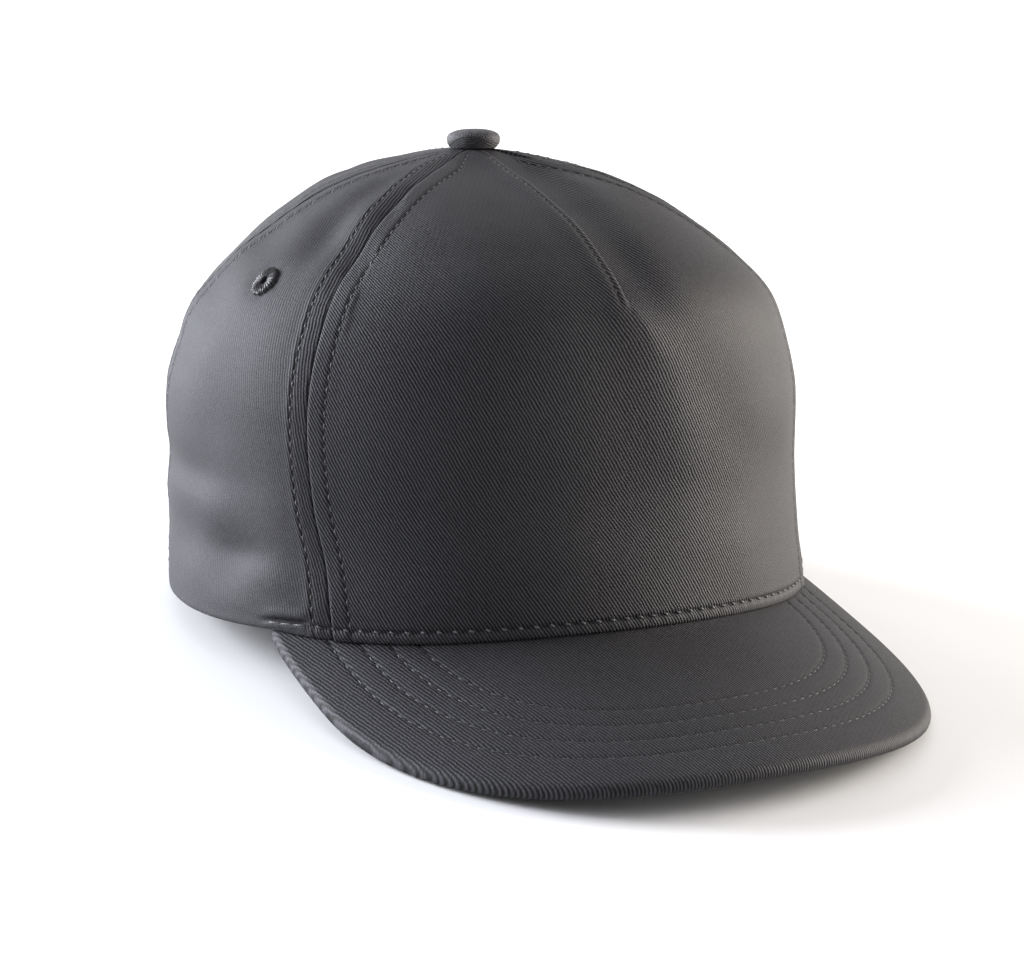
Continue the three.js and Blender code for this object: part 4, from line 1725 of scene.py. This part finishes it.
@dataclass
class Brim:
    """The brim: two faces of cloth over a stiff core, with four rows of stitches.

    roll, welt and groove each hold a height and a width. The last value of groove is the share of its
    depth that is left out at the needle's holes.
    """

    form: BrimForm
    crown: CrownForm
    pose: Pose
    finish: TwillFinish
    thread: ThreadFinish
    columns: int = 400
    across: int = 104
    edge_points: int = 520
    edge_radius: float = 1.8
    roll: Pair = (0.14, 6.0)
    welt: Pair = (0.09, 1.3)
    groove: Triple = (0.34, 0.42, 0.8)

    def outline(self, share: Array) -> Array:
        """The outer edge in plan, from the right corner round the front to the left corner.

        The front is a superellipse about the widest place, and behind it each side an arc back to the
        crown. The outline leans a little, the more the further out it is.

        Args:
            share: places along the edge, 0 to 1.

        Returns:
            The plan points.
        """
        form = self.form
        corner_y = float(self.crown.rim(np.float64(form.root_bearing))[1])
        side = np.where(share < 0.5, -1.0, 1.0)
        from_corner = np.where(share < 0.5, share, 1 - share)
        y_rear = corner_y - (corner_y - form.widest_y) * from_corner / form.rear_share
        reach = np.clip((y_rear - form.widest_y) / form.rear_reach, -1.0, 1.0)
        angle = (math.pi / 2) * np.clip((0.5 - from_corner) / (0.5 - form.rear_share), 0.0, 1.0)
        front_length = self.crown.rim_front + form.length + form.widest_y
        x_front = form.half_width * np.sin(angle) ** (2 / form.power)
        y_front = form.widest_y - front_length * np.cos(angle) ** (2 / form.power)
        rear = from_corner < form.rear_share
        x = side * np.where(rear, form.half_width * np.sqrt(1 - reach * reach), x_front)
        y = np.where(rear, y_rear, y_front)
        lean = np.clip((form.lean_from - y) / form.lean_reach, 0.0, form.lean_most)
        return np.stack([x + form.lean_shift * lean, y + form.lean_skew * x * lean], axis=-1)

    def even_outline(self, count: int) -> Array:
        """Points at even lengths along the outer edge, in plan.

        Args:
            count: how many points.

        Returns:
            The plan points.
        """
        points = self.outline(np.linspace(0.0, 1.0, 4001))
        length = running_length(points)
        return read_line(np.linspace(0.0, length[-1], count), length, points)

    def row_line(self, number: int) -> PlanLine:
        """One row of stitches in plan: the outer edge moved inwards, without what the crown covers.

        Args:
            number: which row, from the edge.

        Returns:
            The line.
        """
        edge = PlanLine(self.even_outline(self.edge_points))
        inset = self.form.first_row + number * self.form.row_pitch
        plan = edge.points + edge.inward * inset
        gap, _ = edge.locate(plan)
        wide, deep = self.crown.rim_side + 0.5, self.crown.rim_front + 0.5
        outside = (plan[:, 0] / wide) ** 2 + (plan[:, 1] / deep) ** 2 > 1
        keep = (gap > inset - 0.3) & outside & (plan[:, 1] < self.form.sewn_y)
        return PlanLine(plan[keep])

    def beat(self, length: Array, number: int) -> Array:
        """Stitches counted along a row, each row started at its own point."""
        return length / self.form.stitch_pitch + self.form.row_phase * number

    def relief(self, inset: Array, gap: Array, beat: Array) -> Array:
        """Heights of the top face: a soft rolled edge and the drawn-in rows.

        A row lies lowest under the middle of each stitch and rises to a bridge at the needle's holes.

        Args:
            inset: distance from the outer edge.
            gap: distance from the nearest row.
            beat: stitches counted along it.

        Returns:
            Heights in mm.
        """
        height, reach = self.roll
        shallow, wide = self.welt
        deep, narrow, bridge = self.groove
        welt = -shallow * bell(gap, 0.0, wide)
        groove = -deep * (1 - bridge * needle_pulse(beat) ** 2) * bell(gap, 0.0, narrow)
        return height * ease(0.0, reach, inset) + welt + groove

    def mesh(self) -> Mesh:
        """The brim as a closed pad between its top and bottom faces.

        Columns run from the outer edge, where the faces meet in a half circle, to the root.

        Returns:
            The mesh, with a map in mm in plan.
        """
        edge = self.even_outline(self.columns)
        turn = np.linspace(-1.0, 1.0, self.columns) * self.form.root_bearing
        root = np.stack(self.crown.rim(turn, self.form.tuck), axis=-1)
        near = np.array([0.0, 0.02, 0.08, 0.2, 0.4, 0.7, 1.1, 1.5])
        span = np.linalg.norm(root - edge, axis=1)
        even = np.linspace(0.0, 1.0, self.across)[1:]
        start = np.minimum(near[-1] / span, 0.4)
        share = np.concatenate([
            near[:, None] / near[-1] * start[None, :],
            start[None, :] + (1 - start)[None, :] * even[:, None],
        ])
        plan = edge[None] + (root - edge)[None] * share[..., None]
        inset, _ = PlanLine(self.even_outline(self.edge_points)).locate(plan)
        found = []
        for number in range(self.form.rows):
            away, length = self.row_line(number).locate(plan)
            found.append((away, self.beat(length, number), plan[..., 1] < self.form.sewn_y))
        gap, beat = nearest_row(found)
        relief = self.relief(inset, gap, beat)
        from_edge = share * span[None, :]
        full = rounded_edge(from_edge, self.edge_radius)
        middle = self.form.top(plan[..., 0], plan[..., 1], self.crown.rim_front) - self.form.thickness / 2
        half = self.form.thickness / 2 * full
        top = np.concatenate([plan, (middle + half + relief * full)[..., None]], axis=-1)
        bottom = np.concatenate([plan, (middle - half - relief * full)[..., None]], axis=-1)
        # Painted highlight along the brim's rounded outer edge
        marks = {"worn": 0.04 * bell(from_edge, 0.8, 0.9), "row_gap": gap, "row_beat": beat}
        return Mesh.shell(top, pinched(top, bottom, full), plan, marks)

    def stitches(self) -> list[Mesh]:
        """The four rows of stitches, above and below.

        Returns:
            The rows.
        """
        made, form = [], self.form
        for number in range(form.rows):
            line = self.row_line(number)
            beat = self.beat(line.lengths, number)
            fine = np.linspace(beat[0], beat[-1], 4 * len(beat))
            x, y = read_line(fine, beat, line.points).T
            height = self.relief(form.first_row + number * form.row_pitch, 0.0, fine)
            top = form.top(x, y, self.crown.rim_front)
            slope = np.stack([2 * form.arch * x, np.full_like(x, -form.slope), np.ones_like(x)], axis=-1)
            above = np.stack([x, y, top + height], axis=-1)
            below = np.stack([x, y, top - form.thickness - height], axis=-1)
            for points, normals in ((above, slope), (below, -slope)):
                row = StitchRow(points, normals, fine, share=0.66, radius=0.19, sink=0.12)
                made.append(row.mesh())
        return made

    def build(self) -> list[Thing]:
        """Makes the brim and its stitches."""
        pad = self.mesh().build("brim_cloth", self.pose, self.finish.material(), "twill", "brim")
        return [pad, stitched("brim_stitching", self.stitches(), self.pose, self.thread)]


@dataclass
class CoveredButton:
    """The cloth-covered button, drawn in below with folded cloth, and the shank and washer under it."""

    crown: CrownForm
    pose: Pose
    finish: TwillFinish
    radius: float = 7.6
    foot: float = 5.6
    waist: float = 2.3
    height: float = 5.2
    clearance: float = 0.15
    fold_pitch: float = 0.62
    power: float = 2.4
    ceiling: float = -3.8

    def mesh(self) -> Mesh:
        """The button turned about its axis, with folds run round its lower half.

        The profile is a superellipse above the waist and a quarter ellipse below it. The folds are
        waves in the distance from the axis that bend and fade with the angle.

        Returns:
            The mesh, with a map laid on from above, and marks that paint highlight on the folds' crests and
            shade in their troughs.
        """
        base = self.crown.point(*TOP)
        low = np.linspace(-math.pi / 2, 0.0, 44)[:-1]
        high = np.linspace(0.0, math.pi / 2, 60)
        radius = np.concatenate([
            [0.0],
            self.foot + (self.radius - self.foot) * np.cos(low) ** 0.8,
            self.radius * np.cos(high).clip(0.0) ** (2 / self.power),
        ])
        level = np.concatenate([
            [-0.3],
            self.waist - (self.waist + 0.45) * np.abs(np.sin(low)) ** 1.15,
            self.waist + (self.height - self.waist) * np.sin(high) ** (2 / self.power),
        ])
        angle = np.arange(120) * math.tau / 120
        turn, height = np.meshgrid(angle, level, indexing="xy")
        out = np.repeat(radius[:, None], len(angle), axis=1)
        facing = (0.5 + 0.5 * np.cos(turn + 0.62)) ** 6
        bend = 3.0 * facing + 0.1 * np.sin(3 * turn)
        folds = np.sin(2 * math.pi * (height - bend) / self.fold_pitch)
        window = ease(-0.4, 0.1, height) * (1 - ease(0.2 + 2.2 * facing, 1.0 + 2.5 * facing, height))
        loose = out > 3.0
        out = out + (0.2 * folds - 0.2) * window * loose
        out = out + 0.05 * np.sin(7 * turn) * ease(0.0, 1.0, height) * loose
        x, y = base[0] + out * np.sin(turn), base[1] - out * np.cos(turn)
        points = np.stack([x, y, base[2] + self.clearance + height], axis=-1)
        quads = Mesh.grid_quads(len(radius), len(angle), True)
        reach = np.cumsum(np.concatenate([[0.0], np.hypot(np.diff(radius), np.diff(level))]))
        reach = (reach[-1] - reach)[:, None]
        cloth = np.stack([reach * np.sin(turn), reach * np.cos(turn)], axis=-1)
        # Painted highlight on the crests of the folds and painted shade in their troughs; the shade rides
        # on the stitch-row marks, where a row gap near 0 with a beat of 0 darkens as at a needle's hole
        crest = 0.5 + 0.5 * folds
        shaded = (1 - crest) * window * 0.5
        marks = {"worn": 0.35 * crest * window, "row_gap": 0.57 * (1 - shaded), "row_beat": 0 * out}
        return Mesh(points.reshape(-1, 3), quads, cloth.reshape(-1, 2), marks)

    def fixing(self) -> Mesh:
        """The shank through the top of the crown and the flat washer inside it.

        Returns:
            The closed solid.
        """
        wall = self.ceiling
        profile = np.array([
            (0.0, wall - 1.2), (6.4, wall - 1.2), (6.85, wall - 1.05), (7.0, wall - 0.8), (6.9, wall - 0.5),
            (6.4, wall - 0.35), (3.6, wall - 0.05), (3.2, wall + 0.3), (3.2, 0.8), (2.6, 1.1), (0.0, 1.1),
        ])
        return lathe(profile, self.crown.point(*TOP), np.array([0.0, 0.0, 1.0]), 48)

    def build(self) -> list[Thing]:
        """Makes the button and its fixing in place of their node."""
        cloth, shank = self.finish.material(), PlasticFinish("button shank").material()
        return [
            self.mesh().build("top_button_cloth", self.pose, cloth, "twill", "top_button"),
            self.fixing().build("top_button_shank", self.pose, shank, "plastic", "top_button"),
        ]


@dataclass
class Eyelet:
    """A sewn eyelet: thread wrapped round a small hole, close and a little uneven."""

    node: str
    bearing: float
    sewing: Sewing
    pose: Pose
    finish: ThreadFinish
    outer: float = 4.6
    hole: float = 1.35
    narrow: float = 0.8
    height: float = 0.8
    threads: int = 30
    wall: float = 1.7
    round_points: int = 240
    loop_points: int = 28

    def mesh(self) -> Mesh:
        """The wrapped ring: a flattened loop carried round the hole, ridged once for each thread.

        Returns:
            The mesh, with a map of angle and loop.
        """
        lift = np.float64(self.sewing.eyelet_lift)
        bearing = np.float64(self.bearing)
        normal = self.sewing.crown.normal(bearing, lift)
        centre = self.sewing.surface(bearing, lift)
        across = np.cross([0.0, 0.0, 1.0], normal)
        across = across / np.linalg.norm(across)
        up = np.cross(normal, across)
        angle = np.arange(self.round_points) * math.tau / self.round_points
        loop = -np.arange(self.loop_points) * math.tau / self.loop_points
        angle, loop = np.meshgrid(angle, loop, indexing="ij")
        ridge = np.sin(self.threads * angle) + 0.5 * np.sin(11 * angle + 1.0)
        middle, half = (self.outer + self.hole) / 2, (self.outer - self.hole) / 2
        ragged = 0.16 * np.sin(13 * angle) + 0.12 * np.sin(29 * angle + 2.0)
        reach = middle + (half + ragged) * np.cos(loop)
        above = np.sin(loop)
        crest = self.height * (1 + 0.16 * ridge) * np.sqrt(np.abs(above))
        slope = 0.3 * (reach / self.outer) ** 2
        drop = np.where(above > 0, crest, -self.wall - 0.5 * crest) - 0.1 + slope * 0.3
        radial = np.cos(angle)[..., None] * across * self.narrow + np.sin(angle)[..., None] * up
        rings = centre + reach[..., None] * radial + drop[..., None] * normal
        mesh = Mesh.tube(rings, closed=True)
        cloth = np.stack([angle / math.tau * self.threads / 9, loop / math.tau * 3], axis=-1)
        mesh.cloth = cloth.reshape(-1, 2)
        return mesh

    def build(self) -> Thing:
        """Makes the eyelet in place of its node."""
        return self.mesh().build(
            self.node + "_thread", self.pose, self.finish.material(), "thread", self.node
        )


@dataclass
class Sweatband:
    """The plain cotton band inside the rim, hemmed below and stitched along both edges."""

    crown: CrownForm
    pose: Pose
    finish: LiningFinish
    thread: ThreadFinish
    gap: float = 2.6
    thickness: float = 1.2
    low: float = 2.6
    high: float = 20.0
    end: float = 152.0
    strap_end: float = 147.0
    room: float = 1.6
    width: float = 30.0
    stitch_pitch: float = 3.0
    rows: Pair = (0.08, 0.9)

    def face(self, bearing: Array, lift: Array, depth: Array | float) -> Array:
        """Points at a depth below the band's outer face, kept above the brim.

        The band steps in near its ends to make room for the strap, and slow waves gather it.

        Args:
            bearing: in degrees.
            lift: in degrees.
            depth: depth below the outer face.

        Returns:
            Points in mm.
        """
        around = np.radians(bearing) * self.crown.rim_side
        room = self.room * ease(self.strap_end - 10.0, self.strap_end - 3.0, np.abs(bearing))
        soft = 0.18 * (1 + waves(around + 0.4 * lift, (23.0, 11.0, 41.0), 0.7))
        inwards = (self.gap + room + soft + depth)[..., None]
        points = self.crown.point(bearing, lift) - self.crown.normal(bearing, lift) * inwards
        resting = self.crown.brim.top(points[..., 0], points[..., 1], self.crown.rim_front) + 0.3
        near = np.abs(bearing) < self.crown.brim.root_bearing + 6
        points[..., 2] = np.where(near, np.maximum(points[..., 2], resting), points[..., 2])
        return points

    def mesh(self) -> Mesh:
        """The band as a closed strip with rounded edges and a fold line along each row of stitches.

        Returns:
            The closed strip.
        """
        rows = spread(1.0, (0, 0.01, 0.03, 0.06), 0.03)
        bearing, share = np.meshgrid(np.linspace(-self.end, self.end, 360), rows)
        lift = self.low + (self.high - self.low) * share
        mm = share * self.width
        full = rounded_edge(np.minimum(mm, self.width - mm), 0.9)
        around = np.radians(bearing) * self.crown.rim_side
        drawn = 0.22 * sum(bell(mm, share * self.width, 0.6) for share in self.rows)
        half = self.thickness / 2
        outer = self.face(bearing, lift, half * (1 - full))
        inner = self.face(bearing, lift, half * (1 + full) - drawn * full)
        return Mesh.shell(outer, pinched(outer, inner, full), np.stack([around, mm], axis=-1))

    def build(self) -> list[Thing]:
        """Makes the band and its two rows of stitches.

        Returns:
            Both pieces.
        """
        cloth = self.finish.material()
        band = self.mesh().build("sweatband_cloth", self.pose, cloth, "lining", "sweatband")
        bearing = np.linspace(-self.end + 2.0, self.end - 2.0, 1500)
        rows = []
        for share in self.rows:
            lift = np.full_like(bearing, self.low + (self.high - self.low) * share)
            points = self.face(bearing, lift, self.thickness - 0.2)
            beat = running_length(points) / self.stitch_pitch
            rows.append(StitchRow(points, -self.crown.normal(bearing, lift), beat, share=0.66).mesh())
        return [band, stitched("sweatband_stitching", rows, self.pose, self.thread)]


@dataclass
class SnapStrap:
    """The closed plastic strap: one half with studs, the other with the holes they snap into."""

    crown: CrownForm
    pose: Pose
    finish: PlasticFinish
    half_angle: float = 33.0
    overlap: float = 17.0
    step: float = 2.0
    thickness: float = 1.3
    depth: float = 2.6
    low: float = 0.8
    high: float = 10.5
    stud_radius: float = 2.0
    hole_radius: float = 2.35
    pitch: float = 5.2
    count: int = 6
    corner: float = 6.5
    rim: float = 0.28
    climb: float = 150.0

    def strip(self, start: float, end: float, raised: bool) -> Mesh:
        """One half of the strap, from its sewn end to its rounded free end.

        Towards the free end the rows close in as a quarter circle. Both long edges have a raised rim.

        Args:
            start: bearing of the sewn end.
            end: bearing of the free end.
            raised: whether it steps out over the other half.

        Returns:
            The closed mesh.
        """
        tip = 1 - 0.14 * (1 - np.linspace(0, 1, 30)[1:]) ** 2
        along = np.concatenate([np.linspace(0.0, 0.86, 70), tip])
        bearing = start + (end - start) * along
        ring = float(self.crown.ring(np.float64(5.0)))
        left = np.abs(np.radians(end - bearing)) * ring
        taper = np.sqrt(np.clip(1 - np.clip(1 - left / self.corner, 0.0, 1.0) ** 2, 1e-4, 1.0))
        middle, half = (self.high + self.low) / 2, (self.high - self.low) / 2
        width = 2 * half / 90.0 * self.climb
        share = np.array([-1, -0.985, -0.95, -0.9, -0.86, -0.82, -0.78, -0.6, -0.3, 0])
        share = np.concatenate([share, -share[-2::-1]])[:, None]
        inset = (self.corner / (width / 2)) * (1 - taper)
        lift = middle + half * share * (1 - inset)[None, :]
        bearings = np.broadcast_to(bearing[None, :], lift.shape)
        edge = np.minimum((1 - np.abs(share)) * width / 2 * np.ones_like(lift), left[None, :])
        full = rounded_edge(edge, 0.45)
        rim = self.rim * (1 - ease(1.0, 1.6, edge))
        depth = np.full_like(lift, self.depth)
        if raised:
            stepped = 1 - ease(self.overlap - self.step, self.overlap + self.step, 180.0 - bearings)
            depth = depth - self.thickness * stepped
        plain, normal = self.crown.point(bearings, lift), self.crown.normal(bearings, lift)
        half_wall = (self.thickness - 0.06) / 2
        outer = plain - normal * (depth + half_wall * (1 - full) - rim * full)[..., None]
        inner = plain - normal * (depth + half_wall * (1 + full))[..., None]
        cloth = np.stack([np.radians(bearings) * ring, lift * 1.6], axis=-1)
        mesh = Mesh.shell(outer, pinched(outer, inner, full), cloth)
        return mesh if end > start else Mesh(mesh.points, mesh.quads[:, ::-1], mesh.cloth)

    def places(self) -> list[tuple[Array, Array]]:
        """The foot of each stud and the way it points.

        Returns:
            A point and a unit vector for each stud.
        """
        found = []
        for number in range(self.count):
            bearing = np.float64(180.0 + self.pitch * (number - (self.count - 1) / 2))
            place = bearing, np.float64((self.low + self.high) / 2)
            normal = self.crown.normal(*place)
            found.append((self.crown.point(*place) - normal * self.depth, normal))
        return found

    def build(self) -> list[Thing]:
        """Makes both halves in place of the strap's node.

        Returns:
            Both pieces.
        """
        material = self.finish.material()
        r = self.stud_radius
        stud = np.array([
            (0.0, -0.4), (r, -0.4), (r, 1.6), (r + 0.12, 1.8), (r + 0.12, 2.1),
            (r - 0.1, 2.35), (r - 0.4, 2.45), (1.1, 2.45), (0.9, 2.25), (0.0, 2.2),
        ])
        parts = [self.strip(180.0 + self.half_angle, 180.0 - self.overlap, False)]
        parts += [lathe(stud, foot, way, 28) for foot, way in self.places()]
        finish = self.pose, material, "plastic", "snap_strap"
        inner = Mesh.joined(parts).build("strap_half_studs", *finish)
        outer = self.strip(180.0 - self.half_angle, 180.0 + self.overlap, True)
        outer = outer.build("strap_half_holes", *finish)
        drill = np.array([(self.hole_radius, -4.0), (self.hole_radius, 6.0)])
        for foot, way in self.places():
            cut_away(outer, lathe(drill, foot, way, 28).build("strap_drill", self.pose, material))
        return [inner, outer]


@dataclass(frozen=True)
class Lamp:
    """One soft square light aimed at the cap: its angles, its distance and side in mm, and its power."""

    name: str
    bearing: float
    elevation: float
    power: float
    colour: Triple
    distance: float = 1500.0
    side: float = 1000.0
    target: Triple = (0.0, 0.0, 0.06)

    def build(self) -> None:
        """Adds the light to the scene."""
        way = Vector(direction(self.bearing, self.elevation))
        data = bpy.data.lights.new(self.name, "AREA")
        data.size = self.side * MM
        data.energy = self.power
        data.color = self.colour
        thing = bpy.data.objects.new(self.name, data)
        thing.location = Vector(self.target) + way * self.distance * MM
        thing.rotation_euler = way.to_track_quat("Z", "Y").to_euler()
        bpy.context.scene.collection.objects.link(thing)


@dataclass
class Studio:
    """The pale floor, the soft lights and the camera of the photograph."""

    pose: Pose
    finish: FloorFinish
    azimuth: float = -28.957
    elevation: float = 7.772
    roll: float = -0.696
    distance: float = 750.0
    pixels_per_mm: float = 3.4489
    centre: Pair = (6.2355, 22.473)
    image_width: float = 1024.0
    sensor: float = 36.0
    sky: Pair = (0.165, 0.65)
    sky_colour: Colour = (0.94, 0.945, 1.0, 1.0)
    lamps: tuple[Lamp, ...] = (
        Lamp("left light", -134.0, 9.0, 86.0, (0.9, 0.93, 1.0)),
        Lamp("right light", 83.0, 11.0, 52.0, (1.0, 0.93, 0.84)),
    )
    floor_half: float = 9.0
    floor_run: Pair = (-6.0, 8.0)
    wall_from: float = 5.0
    wall_rise: float = 0.9

    def camera(self) -> Thing:
        """The camera, at the photograph's angle to the cap and with no shift.

        Returns:
            The scene's camera.
        """
        a, r = math.radians(self.azimuth), math.radians(self.roll)
        back = direction(self.azimuth, self.elevation)
        right = np.array([math.cos(a), math.sin(a), 0.0])
        up = np.cross(back, right)
        level = right * math.cos(r) + up * math.sin(r)
        upright = up * math.cos(r) - right * math.sin(r)
        spot = level * self.centre[0] + upright * self.centre[1] + back * self.distance
        data = bpy.data.cameras.new("camera")
        data.sensor_width = self.sensor
        data.sensor_fit = "HORIZONTAL"
        data.lens = self.pixels_per_mm * self.distance * self.sensor / self.image_width
        data.clip_start, data.clip_end = 0.05, 50.0
        thing = bpy.data.objects.new("camera", data)
        axes = self.pose.aim(np.stack([level, upright, back]))
        place = self.pose.place(spot[None])[0]
        rows = [[*axes[:, row], place[row]] for row in range(3)]
        thing.matrix_world = Matrix(rows + [[0.0, 0.0, 0.0, 1.0]])
        bpy.context.scene.collection.objects.link(thing)
        bpy.context.scene.camera = thing
        return thing

    def floor(self) -> Thing:
        """A wide floor that turns up far behind the cap, so no horizon shows.

        Returns:
            The floor.
        """
        across = np.linspace(-self.floor_half, self.floor_half, 41)
        run = np.linspace(*self.floor_run, 61)
        x, y = np.meshgrid(across, run)
        z = np.where(y > self.wall_from, (y - self.wall_from) ** 2 * self.wall_rise, 0.0)
        points = np.stack([x, y, z], axis=-1).reshape(-1, 3) / MM
        plain = Pose(0.0, (0.0, 0.0, 0.0))
        mesh = Mesh(points, Mesh.grid_quads(len(run), len(across)), points[:, :2] * MM)
        thing = mesh.build("floor", plain, self.finish.material(), weld=False)
        return thing

    def build(self) -> None:
        """Sets the camera, floor, lights, sky and the plain way that colours are shown."""
        self.camera()
        self.floor()
        for lamp in self.lamps:
            lamp.build()
        self.dome()
        bpy.context.scene.view_settings.view_transform = "Standard"

    def dome(self) -> None:
        """The soft white surroundings: dim at eye level and brighter overhead, by height squared."""
        world = bpy.data.worlds.new("studio")
        graph = Graph(world)
        low, rise = self.sky
        way = graph.node("TexCoord", {}, {}, "Generated")
        parts = graph.node("SeparateXYZ", {}, (way,))
        high = Socket(graph, parts.socket.node.outputs["Z"]).clamp()
        strength = high * high * rise + low
        background = graph.node("Background", {}, {"Color": self.sky_colour, "Strength": strength})
        out = graph.tree.nodes.new("ShaderNodeOutputWorld")
        graph.tree.links.new(background.socket, out.inputs["Surface"])
        bpy.context.scene.world = world


def main() -> None:
    """Loads the frame, dresses it piece by piece and sets the studio."""
    logging.basicConfig(level=logging.INFO, format="%(message)s")
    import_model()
    pose = Pose()
    form = CrownForm()
    sewing = Sewing(form)
    seam_thread = ThreadFinish("seam thread", (0.17, 0.167, 0.175, 1.0), (0.035, 0.035, 0.038, 1.0))
    hem_thread = ThreadFinish("hem thread", (0.2, 0.195, 0.2, 1.0), (0.06, 0.06, 0.064, 1.0))
    brim_thread = ThreadFinish("brim thread", (0.12, 0.118, 0.125, 1.0), (0.03, 0.03, 0.032, 1.0))
    eyelet_thread = ThreadFinish("eyelet thread", (0.06, 0.058, 0.062, 1.0), (0.018, 0.018, 0.02, 1.0))
    Studio(pose, FloorFinish()).build()
    made = Crown(sewing, pose, seam_thread, hem_thread).build()
    brim_twill = TwillFinish("brim twill", Grain.BRIM, hole_shade=0.15, dash_shade=0.95, nap=0.45)
    made += Brim(form.brim, form, pose, brim_twill, brim_thread).build()
    button_twill = TwillFinish("button twill", Grain.BUTTON, rib=(0.17, 0.167, 0.178, 1.0), nap=1.0)
    made += CoveredButton(form, pose, button_twill).build()
    for side in Side:
        for flank in Flank:
            node = f"eyelet_{flank.word}_{side.word}"
            made.append(Eyelet(node, side.value * flank.bearing, sewing, pose, eyelet_thread).build())
    made += Sweatband(form, pose, LiningFinish(), seam_thread).build()
    made += SnapStrap(form, pose, PlasticFinish()).build()
    for thing in made:
        LOG.info("%s has %d faces", thing.name, len(thing.data.polygons))


if __name__ == "__main__":
    main()
